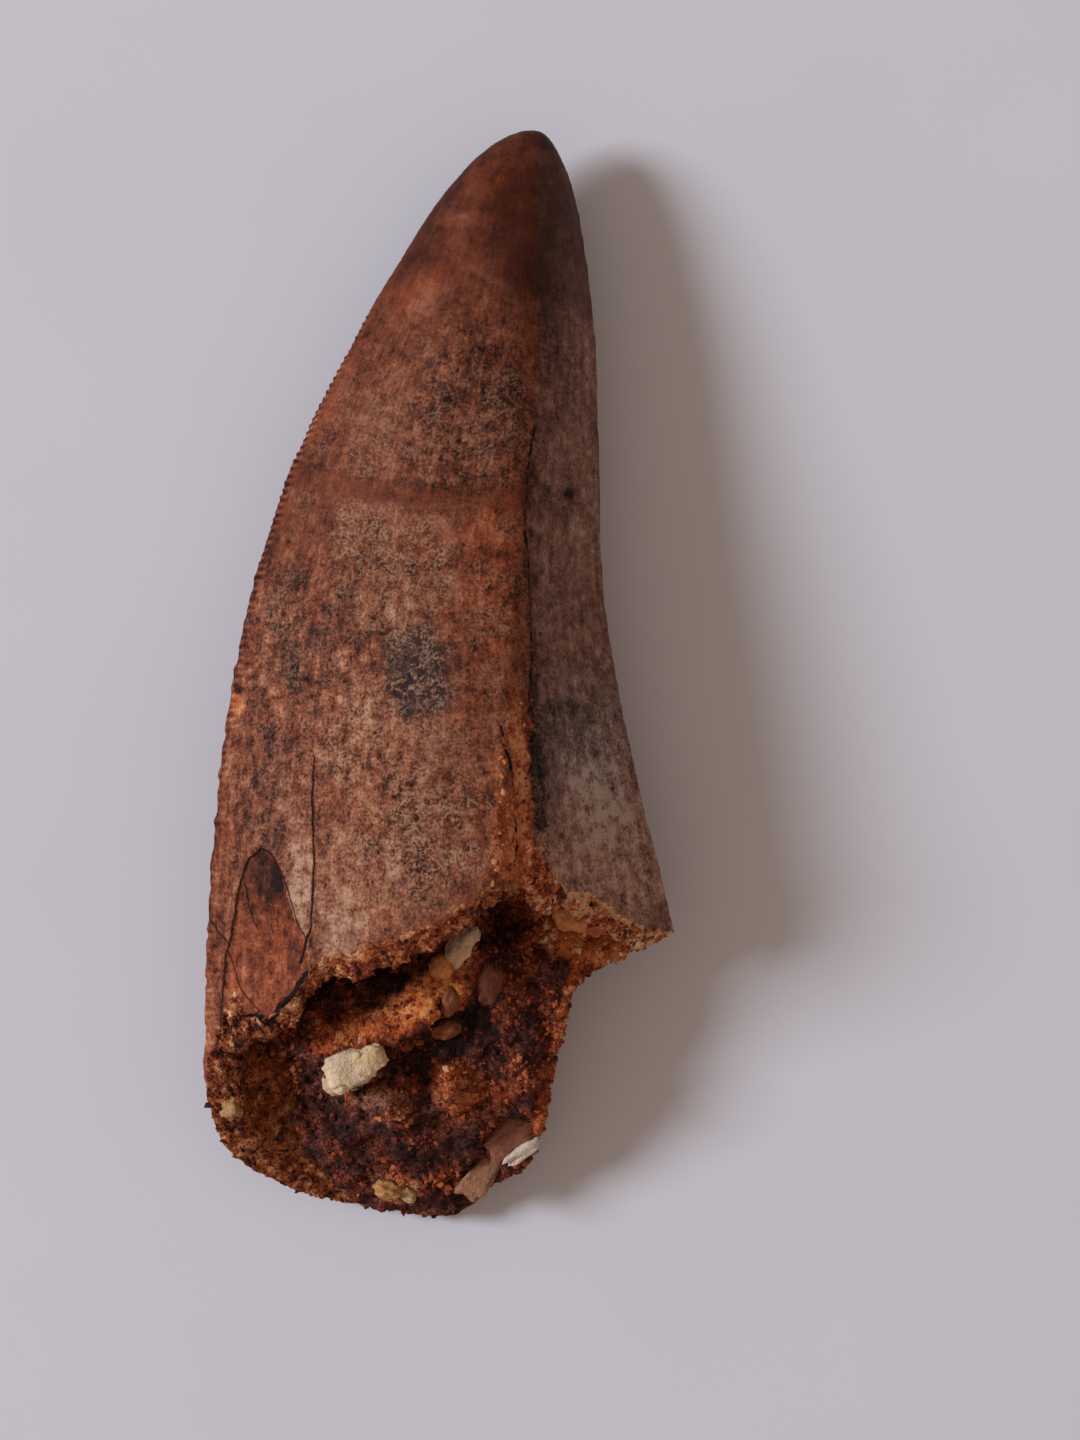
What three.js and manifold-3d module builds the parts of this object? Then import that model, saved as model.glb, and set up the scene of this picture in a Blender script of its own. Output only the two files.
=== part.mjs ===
// A fossil theropod tooth lying on one broad face: a curved, flattened crown with a cutting edge in front and
// one behind, broken open at the base, where the sediment that filled the pulp cavity shows.
// Millimetres, +Z up, +Y towards the tip, origin under the middle of the part on the surface it lies on.
import * as THREE from "three";
import { LoftGeometry } from "three/addons/geometries/LoftGeometry.js";
import { mergeVertices } from "three/addons/utils/BufferGeometryUtils.js";
import Module from "manifold-3d";

const wasm = await Module();
wasm.setup();

// Driving dimensions, mm
const TIP_Y = 39.8;
const BODY_LENGTH = 83.4; // tip to past the broken base
const WALL = 1.7; // dentine over and under the pulp cavity
const EDGE_WALL = 2.6; // dentine between the cavity and a cutting edge
const GAP = 0.3; // between tooth and matrix
const CAVITY_START = 43; // from the tip to the roof end of the cavity
const CAVITY_TAPER = 14;
// Flake lost near the base, and a hollow broken out of the lower front
const SCAR = { fromTip: 57.6, x: -12.4, size: [2.9, 6.6, 1.2], bite: 0.45, turn: -6 };
const HOLLOW = { at: [-10.6, -31.8, 7.4], size: [4.4, 4.6, 3.9], turn: 35, uneven: 0.16 };

// Facets
const ROWS = 47; // sections along the tooth
const CAVITY_ROWS = 12;
const QUARTER_STEPS = 11; // in each quarter of a section

// Cross-sections, from the tip to past the base. front and back are the cutting edges, crest and keel the
// highest and lowest lines, and crease how sharply the surface turns at the crest, from 0 to 1.
const MEASURES = [
  "fromTip", "front", "frontZ", "back", "backZ", "crest", "crestZ", "keel", "keelZ", "crease",
];
const GUIDES = [
  [0, 7.1, 4.8, 7.1, 4.8, 7.1, 4.8, 7.1, 4.8, 0],
  [1.5, 3.2, 4.8, 8.7, 4.8, 6.6, 6.2, 6.2, 3.5, 0],
  [4.5, 0.3, 4.9, 9.9, 4.9, 6.1, 7.6, 5.4, 2.6, 0],
  [9, -2.7, 5.1, 10.7, 5.0, 5.8, 8.9, 4.4, 1.8, 0.05],
  [16, -6.7, 5.4, 11.5, 5.2, 5.6, 10.6, 3.2, 0.9, 0.15],
  [25, -11.0, 5.8, 11.8, 5.5, 5.5, 12.4, 2.0, 0.0, 0.35],
  [35, -14.2, 6.2, 12.2, 5.9, 5.5, 14.2, 1.0, -0.6, 0.6],
  [45, -15.9, 6.6, 14.0, 6.3, 5.5, 15.9, 0.4, -0.9, 0.8],
  [55, -16.8, 7.0, 16.4, 6.7, 5.5, 17.4, 0.0, -0.9, 0.85],
  [66, -17.2, 6.8, 19.0, 7.0, 5.5, 18.1, 0.0, -0.7, 0.85],
  [84, -17.3, 5.2, 21.4, 7.0, 5.5, 18.3, 0.0, -0.5, 0.85],
];

// Line along which the roof of the base broke away, from the front edge to the back edge (x, y)
const ROOF_BREAK = [
  [-21.0, -25.2], [-15.6, -24.3], [-13.8, -24.6], [-10.9, -23.8], [-8.8, -20.9], [-7.6, -19.7], [-6.2, -19.9],
  [-3.6, -18.9], [0.0, -17.5], [2.9, -15.7], [4.7, -14.1], [6.2, -14.4], [7.6, -15.4], [9.0, -15.2],
  [11.6, -16.7], [13.8, -18.2], [16.5, -18.9], [22.0, -19.4],
];

// Lower edge of what is left of the base, seen from above, front to back (x, y)
const RIM = [
  [-20.0, -28.8], [-17.4, -30.2], [-16.5, -32.7], [-14.9, -35.2], [-10.2, -38.0], [-3.6, -39.5], [0.0, -39.9],
  [1.8, -39.3], [3.2, -38.1], [4.4, -37.0], [6.0, -35.8], [7.1, -34.4], [7.6, -31.6], [8.1, -29.0],
  [8.8, -25.7], [10.0, -22.1], [12.6, -20.8], [14.9, -19.7], [17.2, -18.7], [22.0, -17.4],
];

// Cleft beside the crest: distance from the tip, x, width and depth
const CLEFT = [
  [20, 6.7, 0.2, 0.25],
  [30, 6.6, 0.4, 0.45],
  [40, 6.6, 0.7, 0.7],
  [47, 6.3, 1.4, 1.2],
  [52, 5.9, 2.2, 1.6],
  [58, 5.6, 3.0, 2.1],
];

// Ledge across the sediment: its crest line, its rise, and how far it falls off above and below the line
const LEDGE = { from: [-6.6, -28.4], to: [1.9, -22.6], rise: 2.0, above: 2.4, below: 0.8 };

// Lumps of the sediment: centre, half sizes, turn about Z in degrees, and whether the lump is angular
const LUMPS = [
  { at: [-5.9, -28.0, 9.8], size: [2.6, 1.7, 1.8], turn: 20, angular: true }, // cream lump
  { at: [1.8, -19.5, 10.7], size: [1.0, 1.6, 1.2], turn: -28 }, // pale pebble
  { at: [0.6, -21.0, 10.3], size: [1.0, 0.9, 0.9] }, // orange pebble at its end
  { at: [3.6, -22.0, 9.6], size: [1.0, 1.7, 1.2], turn: -10 }, // brown pebble
  { at: [0.9, -23.0, 10.3], size: [0.7, 1.3, 0.9], turn: -15 },
  { at: [1.0, -25.2, 8.9], size: [1.2, 0.8, 0.9], turn: 15 },
  { at: [-4.0, -30.7, 7.9], size: [2.2, 1.5, 1.4], turn: -12, angular: true }, // grey lump
  { at: [1.1, -29.5, 8.0], size: [1.1, 1.5, 1.2], turn: 25 },
  { at: [6.0, -28.4, 7.4], size: [1.5, 2.6, 1.2], turn: 10 },
  { at: [5.8, -33.8, 4.6], size: [1.9, 1.0, 1.0], turn: 42, angular: true }, // white flake on the rim
  { at: [2.9, -36.0, 3.8], size: [1.1, 1.8, 0.9], turn: -32, angular: true },
  { at: [-3.3, -37.4, 3.4], size: [1.5, 1.1, 1.0], turn: 10 },
];

// The guides are eased over the square root of the distance, which rounds the tip like a parabola.
const guideCurve = new THREE.CubicInterpolant(
  GUIDES.map(([fromTip]) => Math.sqrt(fromTip)),
  GUIDES.flat(),
  MEASURES.length,
);

function guideAt(fromTip) {
  const values = guideCurve.evaluate(Math.sqrt(fromTip));
  return Object.fromEntries(MEASURES.map((measure, i) => [measure, values[i]]));
}

// One quarter of a section, from a cutting edge to its pole, the crest or keel. lean and rise set how it
// leaves the edge, full and fall how it comes to the pole.
function quarter(edgeX, edgeZ, poleX, poleZ, { lean, rise = 0.5, full, fall = 0 }) {
  const curve = new THREE.CubicBezierCurve(
    new THREE.Vector2(edgeX, edgeZ),
    new THREE.Vector2(edgeX + (poleX - edgeX) * lean, edgeZ + (poleZ - edgeZ) * rise),
    new THREE.Vector2(poleX + (edgeX - poleX) * full, poleZ + (edgeZ - poleZ) * fall),
    new THREE.Vector2(poleX, poleZ),
  );
  return curve.getPoints(QUARTER_STEPS);
}

// The flank behind the crest is round near the tip and hollow where the crest is creased.
function hollowFlank(crease) {
  const { lerp } = THREE.MathUtils;
  return { lean: lerp(0.2, 0.42, crease), rise: lerp(0.5, 0.26, crease), full: 0.42, fall: 0.58 * crease };
}

// Loop of points across the tooth, drawn in by wall and edgeWall for the cavity
function section(fromTip, wall = 0, edgeWall = 0, scale = 1) {
  const guide = guideAt(fromTip);
  const front = guide.front + edgeWall;
  const back = guide.back - edgeWall;
  const top = guide.crestZ - wall;
  const bottom = guide.keelZ + wall;
  const loop = [
    quarter(back, guide.backZ, guide.crest, top, hollowFlank(guide.crease)),
    quarter(front, guide.frontZ, guide.crest, top, { lean: 0.2, full: 0.5 }).reverse(),
    quarter(front, guide.frontZ, guide.keel, bottom, { lean: 0.16, full: 0.55 }),
    quarter(back, guide.backZ, guide.keel, bottom, { lean: 0.14, full: 0.5 }).reverse(),
  ].flatMap((points) => points.slice(0, -1));
  const centreX = (front + back) / 2;
  const centreZ = (top + bottom) / 2;
  return loop.map((point) => {
    const x = centreX + (point.x - centreX) * scale;
    const z = centreZ + (point.y - centreZ) * scale;
    return new THREE.Vector3(x, TIP_Y - fromTip, Math.max(z, 0)); // flat where it lies on the surface
  });
}

function solid(geometry) {
  const plain = new THREE.BufferGeometry();
  plain.setAttribute("position", geometry.attributes.position);
  plain.setIndex(geometry.index);
  const merged = mergeVertices(plain, 1e-5);
  const vertProperties = new Float32Array(merged.attributes.position.array);
  const triVerts = new Uint32Array(merged.index.array);
  return new wasm.Manifold(new wasm.Mesh({ numProp: 3, vertProperties, triVerts }));
}

const loft = (sections) => solid(new LoftGeometry(sections, { closed: true, capStart: true, capEnd: true }));

function toothBody() {
  const first = 0.22;
  const last = Math.sqrt(BODY_LENGTH);
  const sections = [];
  for (let row = 0; row <= ROWS; row++) {
    sections.push(section(THREE.MathUtils.lerp(first, last, row / ROWS) ** 2));
  }
  return loft(sections);
}

// Pulp cavity: the tooth's own section drawn in, tapering to a rounded roof end
function pulpCavity(gap) {
  const sections = [];
  for (let row = 0; row <= CAVITY_ROWS; row++) {
    const along = 0.2 + (BODY_LENGTH + 0.5 - CAVITY_START) * (row / CAVITY_ROWS) ** 1.5;
    const taper = Math.min(1, along / CAVITY_TAPER);
    sections.push(section(CAVITY_START + along, WALL + gap, EDGE_WALL + gap, Math.sqrt(taper * (2 - taper))));
  }
  return loft(sections);
}

// Highest point of the tooth's surface at a place on it
function surfaceHeight(fromTip, x) {
  const loop = section(fromTip).slice(0, 2 * QUARTER_STEPS + 1);
  const inside = THREE.MathUtils.clamp(x, loop.at(-1).x, loop[0].x - 0.001);
  const i = loop.findIndex((point) => point.x <= inside);
  const part = (loop[i - 1].x - inside) / (loop[i - 1].x - loop[i].x);
  return THREE.MathUtils.lerp(loop[i - 1].z, loop[i].z, part);
}

const splinePoints = (points, count) =>
  new THREE.SplineCurve(points.map(([x, y]) => new THREE.Vector2(x, y))).getPoints(count);

// Small uneven wave, the same at every build
const wave = (x, y) =>
  0.5 * Math.sin(1.7 * x + 0.6 * y) +
  0.3 * Math.sin(2.9 * y - 1.1 * x + 1.3) +
  0.2 * Math.sin(4.3 * x + 3.7 * y);

// Broken rim of the wall, falling from the front wall to the lower back corner
const rimHeight = (x, y) => 7.6 + 0.3 * (y + 24) - 0.12 * (x + 16);

// What is missing above the base. The break leans, so that the dentine's broken face shows from above.
function missingRoof() {
  const edge = splinePoints(ROOF_BREAK, 60);
  const level = (shift, rough, height) => {
    const line = edge.map((p) => {
      const y = p.y - shift + rough * wave(p.x * 1.3, p.y * 1.3);
      return new THREE.Vector3(p.x, y, height(p.x, p.y));
    });
    const corner = (x, y) => new THREE.Vector3(x, y, height(x, y));
    return [...line, corner(30, -50), corner(-24, -50)].reverse();
  };
  const above = (rise, overRim) => (x, y) => {
    const surface = surfaceHeight(Math.min(TIP_Y - y, BODY_LENGTH), x);
    return Math.max(surface + rise, rimHeight(x, y) + overRim);
  };
  return loft([
    level(2.8, 0.6, rimHeight),
    level(1.7, 0.5, above(-1.4, 0.4)),
    level(0, 0.3, above(0, 0.8)),
    level(0, 0.3, above(16, 16)),
  ]);
}

function missingBase() {
  const edge = splinePoints(RIM, 64);
  const outline = new THREE.Shape([...edge, new THREE.Vector2(30, -60), new THREE.Vector2(-30, -60)]);
  const cutter = new THREE.ExtrudeGeometry(outline, { depth: 40, bevelEnabled: false });
  return solid(cutter.translate(0, 0, -5));
}

function cleft() {
  const curve = new THREE.CubicInterpolant(CLEFT.map(([fromTip]) => fromTip), CLEFT.flat(), CLEFT[0].length);
  const sections = [];
  for (let row = 0; row <= 22; row++) {
    const place = THREE.MathUtils.lerp(CLEFT[0][0], CLEFT.at(-1)[0], row / 22);
    const [fromTip, x, width, depth] = curve.evaluate(place);
    const middle = x + 0.22 * Math.sin(0.9 * fromTip) + 0.12 * Math.sin(2.3 * fromTip);
    const surface = surfaceHeight(fromTip, middle);
    const corner = (across, rise) =>
      new THREE.Vector3(middle + across * width, TIP_Y - fromTip, surface + rise * depth);
    sections.push([corner(0.2, -1), corner(1.2, 3), corner(-2.6, 3)]);
  }
  return loft(sections);
}

// Ball or angular block drawn to its half sizes, with an uneven surface
function lump({ at, size, turn = 0, tilt = 0, angular = false, uneven = 0.12 }) {
  const ball = angular ? new THREE.DodecahedronGeometry(1.08, 0) : new THREE.IcosahedronGeometry(1, 2);
  const place = ball.attributes.position;
  const point = new THREE.Vector3();
  for (let i = 0; i < place.count; i++) {
    point.fromBufferAttribute(place, i);
    point.multiplyScalar(1 + uneven * wave(point.x * 2 + at[0], point.y * 2 + point.z * 2 + at[1]));
    place.setXYZ(i, point.x, point.y, point.z);
  }
  ball.scale(...size);
  ball.rotateZ(THREE.MathUtils.degToRad(turn));
  ball.rotateY(tilt);
  return solid(ball.translate(...at));
}

// Shallow scar along the surface
function flakeScar() {
  const { fromTip, x, size, bite, turn } = SCAR;
  const slope = Math.atan(surfaceHeight(fromTip, x + 1) - surfaceHeight(fromTip, x)) * 0.5
    + Math.atan(surfaceHeight(fromTip, x) - surfaceHeight(fromTip, x - 1)) * 0.5;
  const off = size[2] - bite;
  const at = [x - off * Math.sin(slope), TIP_Y - fromTip, surfaceHeight(fromTip, x) + off * Math.cos(slope)];
  return lump({ at, size, turn, tilt: -slope, uneven: 0.03 });
}

const hump = (x, y) => Math.exp(-x * x - y * y);

// Height of the ledge over the sediment: it rises slowly from above and falls off steeply below
function ledgeHeight(x, y) {
  const start = new THREE.Vector2(...LEDGE.from);
  const line = new THREE.Vector2(...LEDGE.to).sub(start);
  const place = new THREE.Vector2(x, y).sub(start);
  const along = THREE.MathUtils.clamp(place.dot(line) / line.lengthSq(), 0, 1);
  const off = place.addScaledVector(line, -along);
  const reach = line.cross(off) > 0 ? LEDGE.above : LEDGE.below;
  return LEDGE.rise * Math.exp(-off.lengthSq() / reach ** 2);
}

// Height of the sediment's broken face
function sedimentHeight(x, y) {
  const recess = 2.2 * hump((x - 4.5) / 3, (y + 17.5) / 2.6) + 1.4 * hump((x + 4.5) / 3.4, (y + 20.5) / 2);
  const basin = 0.9 * hump((x - 1) / 5, (y + 28) / 2.6);
  const dome = 9.4 - 0.03 * Math.max(0, -24 - y) ** 2 - 0.02 * (x - 1) ** 2;
  const uneven = 0.6 * wave(0.7 * x, 0.7 * y) + 0.4 * wave(1.5 * y, 1.5 * x);
  return dome - recess - basin + ledgeHeight(x, y) + uneven;
}

function sedimentBlock() {
  const block = new THREE.BoxGeometry(34, 34, 20, 30, 30, 1).translate(2, -27, -8);
  const place = block.attributes.position;
  for (let i = 0; i < place.count; i++) {
    if (place.getZ(i) > 0) place.setZ(i, sedimentHeight(place.getX(i), place.getY(i)));
  }
  return solid(block);
}

const base = missingBase();
const hollow = lump(HOLLOW);
const tooth = toothBody()
  .subtract(pulpCavity(0))
  .subtract(missingRoof())
  .subtract(base)
  .subtract(hollow)
  .subtract(cleft())
  .subtract(flakeScar());
const sediment = LUMPS.reduce((all, each) => all.add(lump(each)), sedimentBlock());
const matrix = sediment.intersect(pulpCavity(GAP)).subtract(base).subtract(hollow);

function piece(name, manifold, color, roughness) {
  const { vertProperties, triVerts } = manifold.getMesh();
  const geometry = new THREE.BufferGeometry();
  geometry.setAttribute("position", new THREE.BufferAttribute(vertProperties, 3));
  geometry.setIndex(new THREE.BufferAttribute(triVerts, 1));
  geometry.computeVertexNormals();
  const mesh = new THREE.Mesh(geometry, new THREE.MeshStandardMaterial({ color, roughness, metalness: 0 }));
  mesh.name = name;
  return mesh;
}

const part = new THREE.Group();
part.name = "fossil_tooth";
part.add(piece("tooth", tooth, 0x7a4c39, 0.55), piece("matrix", matrix, 0x4a2619, 0.95));

// The origin is under the middle of the part.
const box = new THREE.Box3().setFromObject(part);
const middle = box.getCenter(new THREE.Vector3());
part.position.set(-middle.x, -middle.y, -box.min.z);

export default part;
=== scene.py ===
import bpy
import bmesh
import math
import numpy as np
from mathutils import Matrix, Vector, noise


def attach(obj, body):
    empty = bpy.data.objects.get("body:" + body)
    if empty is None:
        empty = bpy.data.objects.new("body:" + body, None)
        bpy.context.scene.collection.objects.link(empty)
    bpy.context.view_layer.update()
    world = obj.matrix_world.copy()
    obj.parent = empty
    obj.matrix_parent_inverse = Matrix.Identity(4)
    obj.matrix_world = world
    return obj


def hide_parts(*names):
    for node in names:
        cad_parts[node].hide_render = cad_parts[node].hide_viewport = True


# Fossil tooth lying on a pale sheet. Places are millimetres in the frame of the solids: x across the tooth
# from the convex front edge to the back edge, y from the broken base to the tip, z up.
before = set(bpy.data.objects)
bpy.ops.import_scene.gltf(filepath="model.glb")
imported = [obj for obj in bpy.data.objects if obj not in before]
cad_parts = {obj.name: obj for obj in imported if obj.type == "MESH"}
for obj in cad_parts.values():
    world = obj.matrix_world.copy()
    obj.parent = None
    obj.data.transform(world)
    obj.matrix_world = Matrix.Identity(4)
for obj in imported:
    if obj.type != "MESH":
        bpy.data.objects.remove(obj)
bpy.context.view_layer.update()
mm = 0.001
noise.seed_set(7)          # the same ragged edges on every run


def linearColour(code):
    parts = [int(code[i:i + 2], 16) / 255 for i in (1, 3, 5)]
    return tuple(p / 12.92 if p <= 0.04045 else ((p + 0.055) / 1.055) ** 2.4 for p in parts) + (1.0,)


# Adds a node with its settings, links and values, and gives the output socket asked for
def addNode(tree, kind, feeds=None, out=None, **settings):
    node = tree.nodes.new(kind)
    for name, value in settings.items():
        setattr(node, name, value)
    for key, value in (feeds or {}).items():
        named = [s for s in node.inputs if s.enabled and s.name == key]
        socket = named[0] if named else node.inputs[key]
        if isinstance(value, bpy.types.NodeSocket):
            tree.links.new(value, socket)
        else:
            socket.default_value = value
    shown = [s for s in node.outputs if s.enabled and out in (None, s.name)]
    return shown[0] if shown else None


def perMm(size):
    return 1 / (size * mm)


def setStops(ramp, codes):
    while len(ramp.elements) < len(codes):
        ramp.elements.new(0.5)
    for i, code in enumerate(codes):
        ramp.elements[i].position = i / (len(codes) - 1)
        ramp.elements[i].color = linearColour(code)


# An empty material, and a short way to add shader nodes to it
def newMaterial(name):
    material = bpy.data.materials.new(name)
    material.use_nodes = True
    material.node_tree.nodes.clear()

    def paint(kind, feeds=None, **more):
        return addNode(material.node_tree, "ShaderNode" + kind, feeds, **more)

    return material, paint


# A Geometry Nodes tree with named inputs, these inputs, and a short way to add nodes to it
def newTree(name, inputs):
    tree = bpy.data.node_groups.new(name, "GeometryNodeTree")
    tree.interface.new_socket("Geometry", in_out="INPUT", socket_type="NodeSocketGeometry")
    for label, kind in inputs.items():
        tree.interface.new_socket(label, in_out="INPUT", socket_type="NodeSocket" + kind)
    tree.interface.new_socket("Geometry", in_out="OUTPUT", socket_type="NodeSocketGeometry")

    def shape(kind, feeds=None, **more):
        return addNode(tree, kind, feeds, **more)

    return tree, tree.nodes.new("NodeGroupInput").outputs, shape


# What the modifiers give, as a plain mesh
def plainMesh(piece):
    graph = bpy.context.evaluated_depsgraph_get()
    mesh = bpy.data.meshes.new_from_object(piece.evaluated_get(graph))
    piece.modifiers.clear()
    piece.data = mesh


def runTree(piece, tree, values):
    modifier = piece.modifiers.new(tree.name, "NODES")
    modifier.node_group = tree
    for item in tree.interface.items_tree:
        if item.in_out == "INPUT" and item.name in values:
            modifier[item.identifier] = values[item.name]
    plainMesh(piece)


def newPiece(name, data):
    piece = bpy.data.objects.new(name, data)
    bpy.context.scene.collection.objects.link(piece)
    return piece


# A merged copy of a solid, its facets replaced by small even faces
def evenCopy(node, name, faceSize):
    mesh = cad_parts[node].data.copy()
    mesh.materials.clear()
    bm = bmesh.new()
    bm.from_mesh(mesh)
    bmesh.ops.remove_doubles(bm, verts=bm.verts, dist=1e-6)
    bm.to_mesh(mesh)
    bm.free()
    piece = newPiece(name, mesh)
    remesh = piece.modifiers.new("even faces", "REMESH")
    remesh.mode = "VOXEL"
    remesh.voxel_size = faceSize * mm
    plainMesh(piece)
    return piece


# Points and normals of a mesh in millimetres
def meshPoints(mesh):
    place = np.empty(len(mesh.vertices) * 3)
    facing = np.empty(len(mesh.vertices) * 3)
    mesh.vertices.foreach_get("co", place)
    mesh.vertex_normals.foreach_get("vector", facing)
    return place.reshape(-1, 3) / mm, facing.reshape(-1, 3)


def storeField(mesh, name, values):
    kind = "FLOAT" if values.ndim == 1 else "FLOAT_VECTOR"
    field = mesh.attributes.new(name, kind, "POINT")
    field.data.foreach_set("value" if values.ndim == 1 else "vector", values.astype(np.float32).ravel())


def finishPiece(piece, material, smooth=True):
    piece.data.materials.clear()
    piece.data.materials.append(material)
    piece.data.polygons.foreach_set("use_smooth", [smooth] * len(piece.data.polygons))
    print(piece.name + ":", len(piece.data.polygons), "faces")


def smoothStep(low, high, value):
    t = np.clip((value - low) / (high - low), 0, 1)
    return t * t * (3 - 2 * t)


# Places drawn about by up to a reach, so that what is painted by them gets a ragged edge
def ragged(place, reach, size):
    push = np.array([noise.noise_vector(Vector(p / size))[:] for p in place])
    push += 0.5 * np.array([noise.noise_vector(Vector(p / size * 2.7))[:] for p in place])
    return place + reach * push


# Soft oval: 1 inside, 0 outside
def oval(x, y, at, size, turn=0, soft=0.4):
    angle = math.radians(turn)
    dx = x - at[0]
    dy = y - at[1]
    across = (dx * math.cos(angle) + dy * math.sin(angle)) / size[0]
    along = (dy * math.cos(angle) - dx * math.sin(angle)) / size[1]
    return 1 - smoothStep(1 - soft, 1 + soft, np.hypot(across, along))


# Distance to a line of points, positive on its left, and how far a place is past the line's ends
def lineDistance(x, y, path):
    signed = np.full(x.shape, 1e6)
    past = np.zeros(x.shape)
    for i in range(len(path) - 1):
        start = np.array(path[i])
        run = np.subtract(path[i + 1], path[i])
        part = ((x - start[0]) * run[0] + (y - start[1]) * run[1]) / (run @ run)
        held = np.clip(part, 0, 1)
        dx = x - start[0] - held * run[0]
        dy = y - start[1] - held * run[1]
        away = np.hypot(dx, dy)
        closer = away < np.abs(signed)
        pastEnd = (part < 0) * (i == 0) + (part > 1) * (i == len(path) - 2)
        signed = np.where(closer, away * np.where(run[0] * dy - run[1] * dx < 0, -1, 1), signed)
        past = np.where(closer, away * pastEnd, past)
    return signed, past


# Signed distance to a closed outline, positive inside
def insideDistance(x, y, outline):
    loop = list(outline) + [outline[0]]
    away = np.abs(lineDistance(x, y, loop)[0])
    crossings = np.zeros(x.shape, int)
    for (x0, y0), (x1, y1) in zip(loop, loop[1:]):
        if y0 != y1:
            crossings += ((y0 > y) != (y1 > y)) & (x < (x1 - x0) * (y - y0) / (y1 - y0) + x0)
    return np.where(crossings % 2 == 1, away, -away)


# The tooth

toothLook = {
    "faceSize": 0.277, "width": 28,           # mm
    "smoothSteps": 12,                        # irons the facets out of the enamel
    "swell": 0.10, "swellSize": 7.0,          # mm, low waves of the crown
    "flute": 0.05, "fluteSize": 1.4,          # mm, lengthwise flutes
    "crumble": 0.50, "crumbleSize": 1.2,      # mm, broken dentine
    "granule": 0.30, "granuleSize": 0.75,
    "flakeDepth": 0.22, "wrinkle": 0.10, "edgeWear": 0.10,
}

# Serrations of the front cutting edge: millimetres, half sizes, and how keen they are at places along y
serration = {"pitch": 0.556, "reach": 0.20, "along": 0.22, "thick": 0.32, "inset": 0.16, "seed": 4,
             "keenAt": [-23, -8, 4, 10, 14, 19, 25, 28, 38],
             "keen": [0.2, 0.3, 0.6, 0.8, 1.0, 1.0, 0.8, 0.4, 0.1],
             "look": {"tone": 0.38, "warmth": 0.9, "fine": 0.6}}

# Where the enamel ends above the broken base, from the front edge to the back edge
enamelEdge = [(-21.0, -28.0), (-16.4, -27.6), (-15.8, -26.0), (-15.3, -23.6), (-14.7, -22.8), (-13.9, -24.0),
              (-12.6, -24.7), (-11.5, -24.1), (-10.1, -22.7), (-8.8, -20.9), (-7.6, -19.7),
              (-6.2, -19.9), (-3.6, -18.9), (0.0, -17.5), (2.9, -15.7), (4.7, -14.1), (5.6, -13.2),
              (6.4, -12.0), (7.0, -12.0), (7.9, -13.6), (9.2, -15.4), (11.3, -15.9), (13.0, -17.3),
              (14.3, -18.1), (16.9, -18.8), (22.0, -19.4)]

# Strip where the enamel has come off beside the crest: (x, y) down its middle, and half widths
cleftStrip = {"path": [(6.3, 2.0), (5.9, -2.5), (5.6, -6.0), (5.4, -10.0), (5.2, -15.0)],
              "half": [0.15, 0.7, 1.0, 1.25, 1.4]}

# Low fold across the crown
foldLine = [(-11.0, 14.7), (-9.3, 14.1), (-5.9, 13.1), (-0.7, 12.4), (2.0, 12.2), (5.5, 12.4)]

# Flake lost near the base
flakeOutline = [(-12.5, -12.4), (-11.8, -12.8), (-11.1, -14.0), (-10.7, -15.4), (-10.1, -17.3), (-9.2, -18.9),
                (-9.2, -21.2), (-10.1, -22.7), (-11.7, -24.5), (-15.4, -24.3), (-15.4, -22.2), (-15.2, -20.2),
                (-14.7, -18.0), (-14.3, -15.4), (-13.6, -13.3)]

# Charcoal stains with pale grains in them
charOutlines = [
    [(-3.0, 2.5), (-1.1, 3.8), (1.1, 1.4), (1.3, -1.2), (0.0, -3.0), (-2.5, -2.8), (-3.8, -1.2), (-3.6, 1.0)],
    [(7.5, -1.9), (10.1, -1.7), (12.8, -3.0), (13.2, -6.2), (12.5, -9.9), (11.6, -9.1), (11.4, -6.2),
     (7.6, -6.0)],
]

# Look of the whole skin, and what its zones add. tone lightens or darkens, warmth turns towards orange or
# mauve, sugar adds pale grains, and fine strengthens or weakens the texture.
skinLook = {"tone": 0.53, "warmth": 0.52, "sugar": 0.0, "fine": 1.0}
skinZones = {
    "tip": {"tone": -0.25, "warmth": 0.15, "fine": -0.65},
    "fold": {"tone": -0.05, "warmth": 0.12, "fine": -0.4},
    # Painted shade along the two creases of the fold
    "fold crease shade": {"tone": -0.12},
    "front margin": {"tone": 0.05, "warmth": 0.25, "fine": -0.3},
    # Painted shade on the very front edge
    "front rim": {"tone": -0.20},
    "front stain": {"tone": -0.14},
    "front side": {"tone": -0.055},
    "front middle": {"fine": 0.5},
    # Painted shade beside the crest crack, darkest just past the crest where the flank turns from the light
    "shade by the crest crack": {"tone": -0.16},
    "flank": {"warmth": -0.52},
    "grainy face": {"sugar": 0.30},
}

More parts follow.
